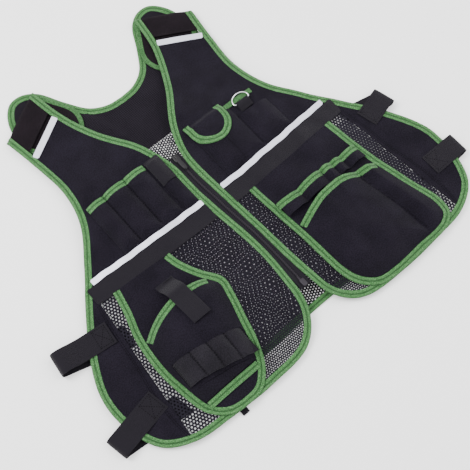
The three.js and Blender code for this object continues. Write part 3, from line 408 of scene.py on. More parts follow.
def new_object(name, verts, faces, materials, indices=None, uv=None, sharp=40):
    mesh = bpy.data.meshes.new(name)
    mesh.from_pydata([tuple(v) for v in np.asarray(verts, float)], [], [tuple(map(int, f)) for f in faces])
    for material in materials:
        mesh.materials.append(material)
    if indices is not None:
        mesh.polygons.foreach_set("material_index", np.asarray(indices, np.int32))
    if uv is not None:
        layer = mesh.uv_layers.new(name="cloth")
        loops = np.zeros(len(mesh.loops), np.int32)
        mesh.loops.foreach_get("vertex_index", loops)
        layer.data.foreach_set("uv", np.asarray(uv, np.float32)[loops].ravel())
    mesh.validate()
    mesh.update()
    if enclosed(mesh) < 0:
        mesh.flip_normals()
    mesh.shade_smooth()
    mesh.set_sharp_from_angle(angle=math.radians(sharp))
    obj = bpy.data.objects.new(name, mesh)
    bpy.context.scene.collection.objects.link(obj)
    return obj


def merged(parts):
    verts, faces = [], []
    for v, f in parts:
        faces.extend(tuple(i + len(verts) for i in face) for face in f)
        verts.extend(v)
    return verts, faces


def joined_rings(rows, columns, closed=False):
    """Quads between rings of points in a row, with caps unless the row closes on itself."""
    faces = []
    for i in range(rows if closed else rows - 1):
        n = (i + 1) % rows
        for j in range(columns):
            m = (j + 1) % columns
            faces.append((i * columns + j, i * columns + m, n * columns + m, n * columns + j))
    if not closed:
        faces.append(tuple(range(columns))[::-1])
        faces.append(tuple((rows - 1) * columns + j for j in range(columns)))
    return faces


def triangulate(outline, pitch):
    """Even triangles inside a plan outline."""
    edge = resample(outline, pitch, closed=True)
    low, high = edge.min(axis=0), edge.max(axis=0)
    rows = np.arange(low[1], high[1], pitch * 0.866)
    points = []
    for k, y in enumerate(rows):
        xs = np.arange(low[0] + (k % 2) * pitch / 2, high[0], pitch)
        points.append(np.stack([xs, np.full(len(xs), y)], axis=1))
    points = np.vstack(points)
    points = points[inside(points, edge)]
    points = points[distance_to(points[:, 0], points[:, 1], closed_line(edge)) > pitch * 0.45]
    everything = np.vstack([edge, points])
    count = len(edge)
    border = [(i, (i + 1) % count) for i in range(count)]
    verts, _, faces, _, _, _ = delaunay_2d_cdt([Vector(p) for p in everything], border, [], 1, 1e-5)
    verts = np.array([(v.x, v.y) for v in verts])
    faces = np.array([f[:3] for f in faces])
    a, b, c = (verts[faces[:, k]] for k in range(3))
    turn = (b[:, 0] - a[:, 0]) * (c[:, 1] - a[:, 1]) - (b[:, 1] - a[:, 1]) * (c[:, 0] - a[:, 0])
    faces[turn < 0] = faces[turn < 0][:, ::-1]
    return verts, faces


GROWTH = {}


def declare_sheet(obj, outline):
    """Works out the size a piece of cloth was cut to, measured along its surface, but does nothing with it.
    """
    grow = GROWTH.get(obj.name, 1.0)
    area = abs(signed_area(outline)) * grow * grow / 1e6


def rim_edges(faces):
    seen = {}
    for f in faces:
        for i, j in zip(f, (*f[1:], f[0])):
            if (j, i) in seen:
                del seen[(j, i)]
            else:
                seen[(i, j)] = True
    return list(seen)


def cloth(name, outline, surface, layer, material, pitch):
    """A closed thin sheet between two heights over a surface."""
    plan, faces = triangulate(outline, pitch)
    x, y = plan[:, 0], plan[:, 1]
    under, top = (surface(x, y, height_of(height, x, y)) for height in layer)
    count = len(plan)
    a, b, c = (top[faces[:, k]] for k in range(3))
    spread = np.linalg.norm(np.cross(b - a, c - a), axis=1).sum() / 2
    GROWTH[name] = math.sqrt(spread * 1e6 / abs(signed_area(outline)))
    walls = []
    for i, j in rim_edges(faces):
        walls.append((j, i, i + count))
        walls.append((j, i + count, j + count))
    every = [tuple(f) for f in faces] + [(f[0] + count, f[2] + count, f[1] + count) for f in faces] + walls
    uv = np.vstack([plan, plan]) / 1000
    return new_object(name, np.vstack([top, under]), every, [material], uv=uv)


def cut_piece(name, outline, surface, layer, material, pitch, node_name, rests_on=None):
    """Cloth or tape in the place of one solid; with rests_on its cut area is worked out, and not used."""
    piece = finish_piece(cloth(name, outline, surface, layer, material, pitch), node_name)
    if rests_on:
        declare_sheet(piece, outline)
    return piece


# A folded tape's section: (in from the edge, up from the middle of the cloth), for a 12 mm tape
TAPE_SECTION = [
    (12.0, 0.0), (11.8, 0.85), (9.4, 1.45), (7.4, 1.4), (6.35, 1.0), (5.65, 1.0), (4.6, 1.4), (2.6, 1.5),
    (1.0, 1.3), (0.2, 0.7), (0.0, 0.0), (0.2, -0.7), (1.0, -1.15), (6.0, -1.2), (11.8, -0.85),
]
TAPE_GIRTH = 0.024
STITCH_PITCH = 3.8


def stitch_mesh(points, tangents, normals, size=(1.25, 0.42, 0.32)):
    """Little pointed lozenges lying along a line, one for each stitch."""
    across = np.cross(normals, tangents)
    half, wide, proud = (s / 1000 for s in size)
    verts, faces = [], []
    for p, t, n, a in zip(points, tangents, normals, across):
        base = len(verts)
        for dt, da in ((half, 0), (0, wide), (-half, 0), (0, -wide)):
            verts.append(p + t * dt + a * da)
        verts.append(p + n * proud)
        verts.append(p - n * proud)
        for k in range(4):
            faces.append((base + k, base + (k + 1) % 4, base + 4))
            faces.append((base + (k + 1) % 4, base + k, base + 5))
    return verts, faces


def stitches_at(p, surface, h, **size):
    x, y = p[:, 0], p[:, 1]
    points = surface(x, y, h)
    normals = unit(surface(x, y, h + 1.0) - points)
    return stitch_mesh(points, unit(np.gradient(points, axis=0)), normals, **size)


def stitch_row(line, height, size):
    p = resample(line, STITCH_PITCH)
    return stitches_at(p, on_front, height_of(height, p[:, 0], p[:, 1]), size=size)


def sew_on(line, surface, base):
    """The row of stitches along the middle of a tape."""
    along = travelled(line)
    wanted = np.linspace(0, along[-1], max(int(along[-1] / STITCH_PITCH), 2))
    p = pairs(np.interp(wanted, along, line[:, 0]), np.interp(wanted, along, line[:, 1]))
    return stitches_at(p, surface, np.interp(wanted, along, base) + 1.15)


def seam(name, rows, height, size=(1.95, 0.55, 0.32)):
    """Rows of stitches with no tape, in one piece."""
    verts, faces = merged(stitch_row(row, height, size) for row in rows)
    finish_piece(new_object(name, verts, faces, [DARK_THREAD]))


def binding(name, line, inward, surface, middle, node_name, closed=False, step=4.0):
    """Tape folded over an edge. inward is 1 where the cloth lies left of the line, -1 where right."""
    p = resample(line, step, closed)
    normals = left_normals(p, closed) * inward
    length = travelled(p)
    rings, uv = [], []
    for k, (d, up) in enumerate(TAPE_SECTION):
        q = p + normals * d
        ease = 0.12 * np.sin(length * 0.31 + k) + 0.1 * np.sin(length * 0.083 + 2 * k)
        level = height_of(middle, q[:, 0], q[:, 1])
        rings.append(surface(q[:, 0], q[:, 1], level + up + (ease if up > 0.9 else 0)))
        uv.append(pairs(length / 1000, k / len(TAPE_SECTION) * TAPE_GIRTH))
    quads = joined_rings(len(p), len(TAPE_SECTION), closed)
    quads = [f[:1] + f[:0:-1] if inward > 0 else f[1:] + f[:1] for f in quads]
    middle_line = p + normals * EDGING / 2
    base = height_of(middle, middle_line[:, 0], middle_line[:, 1])
    sewn = sew_on(middle_line, surface, base)
    verts, faces = merged([(np.stack(rings, axis=1).reshape(-1, 3), quads), sewn])
    indices = [0] * len(quads) + [1] * len(sewn[1])
    uvs = np.vstack([np.stack(uv, axis=1).reshape(-1, 2), np.zeros((len(sewn[0]), 2))])
    piece = new_object(name, verts, faces, [GREEN, GREEN_THREAD], indices, uvs, 50)
    finish_piece(piece, node_name)


def ribbon(name, centre, across, width, thick, node_name, ribs=7):
    """Webbing along a 3-D centre line in metres; across is the unit sideways direction."""
    across = np.broadcast_to(np.asarray(across, float), centre.shape)
    normal = unit(np.cross(across, unit(np.gradient(centre, axis=0))))
    shares = np.linspace(-1, 1, ribs * 4 + 1)
    section = [(s, 0.5 - 0.10 * (k % 4 == 0)) for k, s in enumerate(shares)]
    section += [(s, -0.5) for s in shares[::-1][::4]]
    length = travelled(centre)
    rings, uv = [], []
    for s, up in section:
        edge = 1 - 0.5 * max(abs(s) - 0.93, 0) / 0.07
        rings.append(centre + across * s * width / 2000 + normal * up * thick * edge / 1000)
        uv.append(pairs(length, s * width / 2000))
    verts, uv = (np.stack(v, axis=1).reshape(-1, v[0].shape[1]) for v in (rings, uv))
    piece = new_object(name, verts, joined_rings(len(centre), len(section)), [WEB_BLACK], uv=uv)
    finish_piece(piece, node_name)


def wire_loop(name, points, radius, material, sides=16):
    """Round wire along a closed level line."""
    up = np.array([0.0, 0.0, 1.0])
    out = unit(np.cross(np.roll(points, -1, axis=0) - np.roll(points, 1, axis=0), up))
    angles = 2 * math.pi * np.arange(sides)[:, None] / sides
    verts = points[:, None] + radius * (out[:, None] * np.cos(angles) + up * np.sin(angles))
    faces = joined_rings(len(points), sides, closed=True)
    return new_object(name, verts.reshape(-1, 3), faces, [material], sharp=60)


# Materials
def shader(name, rough, specular=0.3, sheen=0.0, metal=0.0):
    material = bpy.data.materials.new(name)
    material.use_nodes = True
    tree = material.node_tree
    bsdf = tree.nodes["Principled BSDF"]
    bsdf.inputs["Roughness"].default_value = rough
    bsdf.inputs["Specular IOR Level"].default_value = specular
    bsdf.inputs["Sheen Weight"].default_value = sheen
    bsdf.inputs["Sheen Roughness"].default_value = 0.5
    bsdf.inputs["Metallic"].default_value = metal
    return material, tree, bsdf


def node(tree, kind, **values):
    n = tree.nodes.new(kind)
    for key, value in values.items():
        n.inputs[key].default_value = value
    return n


def ramp(tree, source, stops):
    n = tree.nodes.new("ShaderNodeValToRGB")
    elements = n.color_ramp.elements
    elements.remove(elements[-1])
    elements[0].position = stops[0][0]
    elements[0].color = (*stops[0][1], 1)
    for at, colour in stops[1:]:
        elements.new(at).color = (*colour, 1)
    tree.links.new(source, n.inputs["Fac"])
    return n.outputs["Color"]


def coordinates(tree, kind="Object", turn=0.0):
    place = tree.nodes.new("ShaderNodeTexCoord")
    mapping = node(tree, "ShaderNodeMapping", Rotation=(0, 0, turn))
    tree.links.new(place.outputs[kind], mapping.inputs["Vector"])
    return mapping.outputs["Vector"]


def noise(tree, vector, scale, detail=3.0, rough=0.55):
    n = node(tree, "ShaderNodeTexNoise", Scale=scale, Detail=detail, Roughness=rough)
    tree.links.new(vector, n.inputs["Vector"])
    return n.outputs["Fac"]


def wave(tree, vector, scale, direction="X", distortion=0.0):
    n = node(tree, "ShaderNodeTexWave", Scale=scale, Distortion=distortion)
    n.wave_type = "BANDS"
    n.bands_direction = direction
    tree.links.new(vector, n.inputs["Vector"])
    return n.outputs["Fac"]


def math_node(tree, operation, a, b):
    n = tree.nodes.new("ShaderNodeMath")
    n.operation = operation
    for socket, value in zip(n.inputs, (a, b)):
        if isinstance(value, (int, float)):
            socket.default_value = value
        else:
            tree.links.new(value, socket)
    return n.outputs["Value"]


def weighted(tree, first, share, second, other_share):
    """The sum of two values, each times its share."""
    parts = [math_node(tree, "MULTIPLY", v, s) for v, s in ((first, share), (second, other_share))]
    return math_node(tree, "ADD", *parts)


def bump(tree, bsdf, height, distance, strength=0.6):
    n = node(tree, "ShaderNodeBump", Strength=strength, Distance=distance)
    tree.links.new(height, n.inputs["Height"])
    tree.links.new(n.outputs["Normal"], bsdf.inputs["Normal"])


def woven(name, dark, light, threads=900.0, rough=0.88, sheen=0.03, depth=0.0002, grid=0.0):
    """Plain weave: crossing threads in relief, a fine fleck and slow changes of shade."""
    material, tree, bsdf = shader(name, rough, 0.06, sheen)
    place = coordinates(tree, "UV")
    warp = wave(tree, place, threads, "X", 0.6)
    weft = wave(tree, place, threads, "Y", 0.6)
    weave = math_node(tree, "MULTIPLY", warp, weft)
    fleck = noise(tree, place, 560.0, 3.0, 0.7)
    shade = noise(tree, place, 22.0, 4.0)
    blended = weighted(tree, fleck, 0.78, shade, 0.22)
    if grid:
        blended = math_node(tree, "ADD", blended, math_node(tree, "MULTIPLY", weave, grid))
    colour = ramp(tree, blended, [(0.40, dark), (0.60 + grid / 2, light)])
    tree.links.new(colour, bsdf.inputs["Base Color"])
    bump(tree, bsdf, math_node(tree, "ADD", weave, math_node(tree, "MULTIPLY", fleck, 0.4)), depth)
    return material


def ribbed(name, dark, light, ribs=1300.0):
    """Webbing: close ribs across, from the thick weft, and fine diagonal threads."""
    material, tree, bsdf = shader(name, 0.78, 0.12, 0.04)
    place = coordinates(tree, "UV")
    across = wave(tree, place, ribs, "X", 0.3)
    along = wave(tree, place, ribs * 0.7, "Y", 0.3)
    fleck = noise(tree, place, 1200.0, 2.0)
    relief = math_node(tree, "ADD", across, math_node(tree, "MULTIPLY", along, 0.5))
    colour = ramp(tree, math_node(tree, "MULTIPLY", relief, fleck), [(0.1, dark), (0.75, light)])
    tree.links.new(colour, bsdf.inputs["Base Color"])
    bump(tree, bsdf, relief, 0.0003)
    return material


# Painted light across a folded tape, by share of its girth: painted shade, dark along the sewn groove and on
# the sides that turn away, and painted highlights, paler on the raised ridges near the folds
TAPE_PAINTED_LIGHT = [
    (0.00, 0.60), (0.10, 1.00), (0.20, 0.82), (0.265, 0.40), (0.335, 0.40), (0.40, 0.82), (0.48, 1.00),
    (0.60, 0.70),
]


def multiplied(tree, first, second):
    n = tree.nodes.new("ShaderNodeMix")
    n.data_type = "RGBA"
    n.blend_type = "MULTIPLY"
    n.inputs[0].default_value = 1.0
    tree.links.new(first, n.inputs[6])
    tree.links.new(second, n.inputs[7])
    return n.outputs[2]


def heathered(name):
    """Green tape of mixed light and dark yarns, with painted shade in its sewn groove and painted highlights
    on the raised ridges near its edges.
    """
    material, tree, bsdf = shader(name, 0.86, 0.12, 0.08)
    place = coordinates(tree, "Object")
    yarn = noise(tree, place, 760.0, 2.0, 0.6)
    fleck = noise(tree, place, 1500.0, 2.0, 0.6)
    mixed = weighted(tree, yarn, 0.45, fleck, 0.55)
    colour = ramp(tree, mixed, [
        (0.39, (0.009, 0.040, 0.010)), (0.47, (0.030, 0.104, 0.028)),
        (0.53, (0.054, 0.156, 0.049)), (0.62, (0.135, 0.280, 0.122)),
    ])
    across = tree.nodes.new("ShaderNodeSeparateXYZ")
    tree.links.new(coordinates(tree, "UV"), across.inputs["Vector"])
    share = math_node(tree, "MULTIPLY", across.outputs["Y"], 1 / TAPE_GIRTH)
    # painted shade and highlights across the tape's girth, multiplied into the yarn colour
    shade = ramp(tree, share, [(at, (v, v, v)) for at, v in TAPE_PAINTED_LIGHT])
    tree.links.new(multiplied(tree, colour, shade), bsdf.inputs["Base Color"])
    bump(tree, bsdf, math_node(tree, "ADD", yarn, fleck), 0.0005, 0.7)
    return material


def reflective(name):
    """Pale grey tape with a fine diagonal grain and a soft metallic gloss."""
    material, tree, bsdf = shader(name, 0.38, 0.6, 0.1, 0.25)
    diagonal = coordinates(tree, "Object", math.radians(38))
    grain = wave(tree, diagonal, 330.0, "X", 1.2)
    fleck = noise(tree, diagonal, 900.0, 2.0)
    blended = weighted(tree, grain, 0.5, fleck, 0.5)
    colour = ramp(tree, blended, [(0.25, (0.48, 0.48, 0.57)), (0.7, (0.68, 0.68, 0.77))])
    tree.links.new(colour, bsdf.inputs["Base Color"])
    bump(tree, bsdf, blended, 0.0002)
    return material


def moulded(name, colour, rough, metal=0.0, specular=0.5):
    """Nylon, thread or plated wire, with a faint mottle in its colour and gloss."""
    material, tree, bsdf = shader(name, rough, specular, 0.0, metal)
    mottle = noise(tree, coordinates(tree, "Object"), 500.0, 3.0)
    darker = tuple(c * 0.85 for c in colour)
    lighter = tuple(min(c * 1.15, 1) for c in colour)
    tree.links.new(ramp(tree, mottle, [(0.35, darker), (0.65, lighter)]), bsdf.inputs["Base Color"])
    bump(tree, bsdf, mottle, 0.00005, 0.4)
    return material


CLOTH_BLACK = woven("cloth_black", (0.0020, 0.0015, 0.0031), (0.0110, 0.0088, 0.0150))
YOKE_BLACK = woven(
    "yoke_black", (0.0016, 0.0012, 0.0022), (0.0150, 0.0124, 0.0176), 95.0, 0.92, 0.02, 0.0004, grid=0.35
)
BAND_BLACK = woven("band_black", (0.0030, 0.0025, 0.0040), (0.0140, 0.0120, 0.0170), rough=0.6, sheen=0.05)
PAD_BLACK = woven("pad_black", (0.0030, 0.0020, 0.0030), (0.0105, 0.0075, 0.0100), 800.0, 0.95, 0.02)
NET_BLACK = woven("net_black", (0.0050, 0.0042, 0.0070), (0.0150, 0.0132, 0.0200), 700.0, 0.85, 0.03)
WEB_BLACK = ribbed("webbing_black", (0.0026, 0.0020, 0.0036), (0.0132, 0.0108, 0.0164))
GREEN = heathered("green_tape")
GREEN_THREAD = moulded("green_thread", (0.012, 0.050, 0.013), 0.8, specular=0.05)
DARK_THREAD = moulded("dark_thread", (0.0016, 0.0014, 0.0020), 0.85, specular=0.03)
SILVER_TAPE = reflective("silver_tape")
NYLON = moulded("zip_nylon", (0.012, 0.009, 0.014), 0.5, specular=0.3)
SLIDER_DARK = moulded("slider_enamel", (0.006, 0.0055, 0.007), 0.35, specular=0.3)
STEEL = moulded("plated_wire", (0.78, 0.79, 0.81), 0.16, 1.0)


# Outlines of the fronts and the back
def zip_centre(y):
    return -ZIP_SWAY * smooth((y - ZIP_SWAY_START) / ZIP_SWAY_RUN)


def front_outline(side):
    edge = curve_through(placed(FRONT_EDGE))
    share = clamp01(1 - (edge[:, 0] - FRONT_EDGE[5][0] * HALF_WIDTH) / ZIP_SWAY_FADE)
    return pairs(edge[:, 0] * side + zip_centre(edge[:, 1]) * share, edge[:, 1])


FRONTS = {side: front_outline(side) for side, _ in SIDES}
PANELS = {1: curve_through(placed(LARGE_PANEL_EDGE)), -1: curve_through(placed(TOOL_PANEL_EDGE))}


def belt_top(x, offset=0.0):
    return BELT_HEIGHT + BELT_RISE * (np.abs(x) / DOME_HALF) ** 2 + offset


def clipped(outline, keep, cut=None):
    """The part of an outline where keep(x, y) is true; it is closed along y = cut(x), else straight."""
    fine = resample(outline, 2.0, closed=True)
    good = keep(fine[:, 0], fine[:, 1])
    if good.all():
        return fine
    start = int(np.argmax(good & ~np.roll(good, 1)))
    fine, good = np.roll(fine, -start, axis=0), np.roll(good, -start)
    begins = np.flatnonzero(good & ~np.roll(good, 1))
    ends = np.flatnonzero(good & ~np.roll(good, -1)) + 1
    runs = [fine[a:b] for a, b in zip(begins, ends)]
    pieces = []
    for k, run in enumerate(runs):
        pieces.append(run)
        if cut is None:
            continue
        a, b = run[-1], runs[(k + 1) % len(runs)][0]
        if max(abs(float(cut(p[0])) - p[1]) for p in (a, b)) < 6:
            xs = np.linspace(a[0], b[0], max(int(abs(b[0] - a[0]) / 4), 2))[1:-1]
            pieces.append(pairs(xs, cut(xs)))
    return np.vstack(pieces)


def along_belt(x0, x1, offset, count=24):
    xs = np.linspace(x0, x1, count)
    return pairs(xs, belt_top(xs, offset))


def xs_within(start, end, count, height, outline):
    """Evenly spaced x for which the line y = height(x) lies inside an outline."""
    xs = np.linspace(start, end, count)
    return xs[inside(pairs(xs, height(xs)), outline)]


def stretches(line, keep):
    """The longest run of a line's points where keep is true."""
    good = keep(line[:, 0], line[:, 1])
    best, start = (0, 0), None
    for i, g in enumerate(list(good) + [False]):
        if g and start is None:
            start = i
        if not g and start is not None:
            if i - start > best[1] - best[0]:
                best = (start, i)
            start = None
    return line[best[0]:best[1]]


# The back: net below, cloth yoke above, tape all round
def net(name, groups, surface, layer, outline, node_name, turned=False):
    """Knitted net: a hexagon of threads round each hole. groups are (cells, radius, hole radius)."""
    low, high = layer
    angles = [math.radians(60 * k + (0 if turned else 30)) for k in range(6)]
    verts, faces, places = [], [], {}

    def corner(x, y, top):
        key = (round(x, 2), round(y, 2), top)
        if key not in places:
            places[key] = len(verts)
            verts.append((x, y, high if top else low))
        return places[key]

    for cells, radius, hole in groups:
        for (cx, cy), share in cells:
            outer = [(cx + radius * math.cos(a), cy + radius * math.sin(a)) for a in angles]
            above = [corner(x, y, True) for x, y in outer]
            below = [corner(x, y, False) for x, y in outer]
            if not share:
                faces.append(tuple(above))
                faces.append(tuple(below[::-1]))
                continue
            grow = hole * share * random.uniform(0.88, 1.1)
            inner = [(cx + grow * math.cos(a), cy + grow * math.sin(a)) for a in angles]
            rim = len(verts)
            verts.extend((x, y, high - 0.1) for x, y in inner)
            verts.extend((x, y, low + 0.1) for x, y in inner)
            for k in range(6):
                m = (k + 1) % 6
                faces.append((above[k], above[m], rim + m, rim + k))
                faces.append((below[m], below[k], rim + 6 + k, rim + 6 + m))
                faces.append((rim + k, rim + m, rim + 6 + m, rim + 6 + k))
    plan = np.array(verts)
    under = {index: places[(x, y, False)] for (x, y, top), index in places.items() if top}
    for i, j in rim_edges(faces):
        if i in under and j in under:
            faces.append((j, i, under[i], under[j]))
    mesh = new_object(name, surface(*plan.T), faces, [NET_BLACK], uv=plan[:, :2] / 1000, sharp=80)
    finish_piece(mesh, node_name)
    declare_sheet(mesh, outline)


def hex_cells(outline, pitch, open_here, keep=None, turned=False):
    """Cell centres inside an outline, each with the share of its full hole."""
    radius = pitch / math.sqrt(3)
    low, high = outline.min(axis=0), outline.max(axis=0)
    first, second = (0, 1) if turned else (1, 0)
    centres = []
    for k, a in enumerate(np.arange(low[first], high[first], radius * 1.5)):
        for b in np.arange(low[second] + (k % 2) * pitch / 2, high[second], pitch):
            centres.append((a, b) if turned else (b, a))
    centres = np.array(centres)
    centres = centres[inside(centres, outline)]
    if keep is not None:
        centres = centres[keep(centres[:, 0], centres[:, 1])]
    shares = open_here(centres[:, 0], centres[:, 1]).astype(float)
    return list(zip(map(tuple, centres), shares)), radius


def build_back():
    half = curve_through(placed(BACK_EDGE, BACK_HALF))
    outline = np.vstack([half, (half[1:-1] * (-1, 1))[::-1]])
    inner = inset(outline, UNDER_TAPE)
    net_outline = clipped(inner, lambda x, y: y < YOKE_HEIGHT)
    yoke_outline = clipped(inner, lambda x, y: y > YOKE_HEIGHT - 1)

    def open_here(x, y):
        """Holes show in the neck and behind the net of the fronts; elsewhere the net is closed."""
        in_neck = (np.abs(x) < 92) & (y > BELT_HEIGHT + 45)
        behind_net = (x > -132) & (x < 62) & (y < BELT_HEIGHT + 20)
        return np.where(in_neck, 0.88, np.where(behind_net, 0.80, 0.0))

    def yoke_top(x, y):
        fold = 2.4 * np.exp(-(distance_to(x, y, YOKE_CREASE) / 3.2) ** 2)
        return 1.9 + 0.25 * wrinkle(x, y) + fold

    pitch, hole = BACK_NET
    cells = hex_cells(net_outline, pitch, open_here, turned=True)
    net("back_net", [(*cells, hole)], on_back, BACK_NET_LAYER, net_outline, "back_mesh", True)
    cut_piece("back_yoke_cloth", yoke_outline, on_back, (0.6, yoke_top), YOKE_BLACK, 5.0,
              "back_yoke", "floor")
    binding("back_tape", outline, turning(outline), on_back, 1.35, "back_edging", closed=True)


# The fronts
def front_parts(side, name):
    outline = FRONTS[side]
    inner = inset(outline, UNDER_TAPE)
    chest_low = lambda x: belt_top(x, -CHEST_BEHIND_BELT)
    chest = clipped(inner, lambda x, y: (y > chest_low(x)) & (fold_distance(x, y) > PAD_REACH - 1), chest_low)
    cut_piece(f"chest_cloth_{name}", chest, on_front, CLOTH_LAYER, CLOTH_BLACK, 6.0,
              f"chest_panel_{name}", "back_yoke_cloth")
    line = curve_through(placed(SIDE_SEAM))
    seam_x = lambda y: np.interp(y, line[::-1, 1], line[::-1, 0])
    skirt_high = lambda x: belt_top(x, -SKIRT_BEHIND_BELT)
    lower = clipped(inner, lambda x, y: y < skirt_high(x), skirt_high)
    middle = clipped(lower, lambda x, y: np.abs(x) < seam_x(y))
    flank = clipped(lower, lambda x, y: np.abs(x) > seam_x(y) - 3)
    hidden = inset(PANELS[side], 16)

    def shown(x, y):
        return ~inside(pairs(x, y), hidden) & (y < belt_top(x, 3 - BELT_WIDTH))

    def shown_side(x, y):
        """The left side net is finer where it is doubled."""
        doubled = (side > 0) & (y > 62) & (y < belt_top(x, -BELT_WIDTH - 12))
        return shown(x, y) * np.where(doubled, 0.55, 1.0)

    fine = hex_cells(middle, FINE_NET[0], shown, lambda x, y: np.abs(x) < NET_CHANGE)
    coarse = hex_cells(middle, SIDE_NET[0], shown_side, lambda x, y: np.abs(x) > NET_CHANGE + 3)
    groups = [(*fine, FINE_NET[1]), (*coarse, SIDE_NET[1])]
    net(f"front_net_{name}", groups, on_front, FRONT_NET_LAYER, middle, f"front_mesh_{name}")
    cut_piece(f"side_cloth_{name}", flank, on_front, CLOTH_LAYER, CLOTH_BLACK, 6.0,
              f"side_panel_{name}", "floor")
    edge = stretches(resample(outline, 0.5), lambda x, y: fold_distance(x, y) > PAD_REACH - 1.2)
    binding(f"front_tape_{name}", edge, turning(outline), on_front, 1.1, f"front_edging_{name}")
    side_seam = np.array([(x * side, y) for x, y in line if 14 < y < belt_top(x, -BELT_WIDTH)])
    seam(f"side_seam_{name}", [side_seam, side_seam + (3.0 * side, 0)], 2.1)


def belt_and_strips(side, name):
    outline = inset(FRONTS[side], EDGING - 1)

    def ends(offset):
        xs = xs_within(0, HALF_WIDTH * side, 300, lambda x: belt_top(x, offset), outline)
        return xs[0], xs[-1]

    def along_strip(offset):
        """The strip's edge, with slight kinks."""
        line = along_belt(*ends(STRIP_WIDTH / 2), offset, 60)
        kinks = 0.55 * np.sin(line[:, 0] / 13.0) + 0.35 * np.sin(line[:, 0] / 5.1 + 1.0)
        return line + pairs(0.0, kinks)

    span = ends(-BELT_WIDTH / 2)
    plan = np.vstack([along_belt(*span, -BELT_WIDTH), along_belt(*span, -0.5)[::-1]])
    cut_piece(f"belt_{name}", plan, on_front, BELT_LAYER, WEB_BLACK, 5.0,
              f"belt_webbing_{name}")
    plan = np.vstack([along_strip(0.9), along_strip(STRIP_WIDTH - 0.3)[::-1]])
    cut_piece(f"chest_reflector_{name}", plan, on_front, REFLECTOR_LAYER, SILVER_TAPE, 4.0,
              f"chest_strip_{name}")
    ts = np.linspace(-24, FOLD_FRAMES[side][3] + 24, 200)
    ts = ts[inside(from_fold(side, pairs(ts, PAD_REACH + STRIP_WIDTH / 2)), outline)]
    ts = np.linspace(ts[0], ts[-1], 12)
    corners = [pairs(ts, PAD_REACH + 0.5), pairs(ts[::-1], PAD_REACH + STRIP_WIDTH + 0.5)]
    plan = from_fold(side, np.vstack(corners))
    cut_piece(f"shoulder_reflector_{name}", plan, on_front, REFLECTOR_LAYER, SILVER_TAPE, 4.0,
              f"shoulder_strip_{name}")


def build_pad(side, name):
    surface, radius, turn_length = on_pad(side)
    outline = to_fold(side, resample(FRONTS[side], 0.5))
    width = FOLD_FRAMES[side][3]
    half = len(outline) // 2
    edges = []
    for part in (outline[:half], outline[half:]):
        part = part[(part[:, 1] > radius) & (part[:, 1] < PAD_REACH)] - (0, radius)
        edges.append(part if part[0, 1] < part[-1, 1] else part[::-1])
    neck, arm = edges
    straight = -turn_length - PAD_TAIL_STRAIGHT + radius
    tail = arc((width / 2, straight), (-width / 2, PAD_TAIL_STRAIGHT - PAD_TAIL), 0, math.pi, 25)
    edge = np.vstack([neck[::-1], [(0.0, 0.0)], tail, [(width, 0.0)], arm])
    field = inset(resample(edge, 4.0, closed=True), UNDER_TAPE)
    field = clipped(field, lambda x, y: y < PAD_REACH - radius - 1)
    rim = closed_line(field)
    crown = lambda t, u: 1.6 + 1.5 * smooth(distance_to(t, u, rim) / 22.0)
    pad = cut_piece(f"pad_{name}", field, surface, (0.2, crown), PAD_BLACK, 5.0,
                    f"shoulder_pad_{name}")
    binding(f"pad_tape_{name}", resample(edge, 4.0), turning(edge), surface, 1.4, f"pad_edging_{name}")


# The zip
def moulded_piece(name, parts, material, node_name):
    verts, faces = merged(parts)
    piece = new_object(name, on_front(*np.array(verts).T), faces, [material])
    finish_piece(piece, node_name)


def tooth(y, side):
    x = float(zip_centre(y))
    verts = [
        (x - side * dx * grow, y + dy * grow * TOOTH_STRETCH, h)
        for h, grow in TOOTH_LEVELS
        for dx, dy in TOOTH_RING
    ]
    faces = joined_rings(len(TOOTH_LEVELS), len(TOOTH_RING))
    return verts, faces if side < 0 else [f[::-1] for f in faces]


def rounded_block(outline, low, high, inset_by, steps=3):
    """A block on a plan outline with rounded upper and lower edges."""
    quarter = [math.pi / 2 * k / steps for k in range(steps + 1)]
    rings = [(inset_by * (1 - math.sin(a)), low + inset_by * (1 - math.cos(a))) for a in quarter]
    rings += [(inset_by * (1 - math.cos(a)), high - inset_by * (1 - math.sin(a))) for a in quarter]
    verts = [(x, y, h) for by, h in rings for x, y in inset(outline, by)]
    return verts, joined_rings(len(rings), len(outline))


def oval(cx, cy, rx, ry, count=20, power=2.6):
    """An outline between an ellipse (power 2) and a rectangle."""
    a = 2 * math.pi * np.arange(count) / count
    c, s = (np.copysign(np.abs(v) ** (2 / power), v) for v in (np.cos(a), np.sin(a)))
    return pairs(cx + rx * c, cy + ry * s)


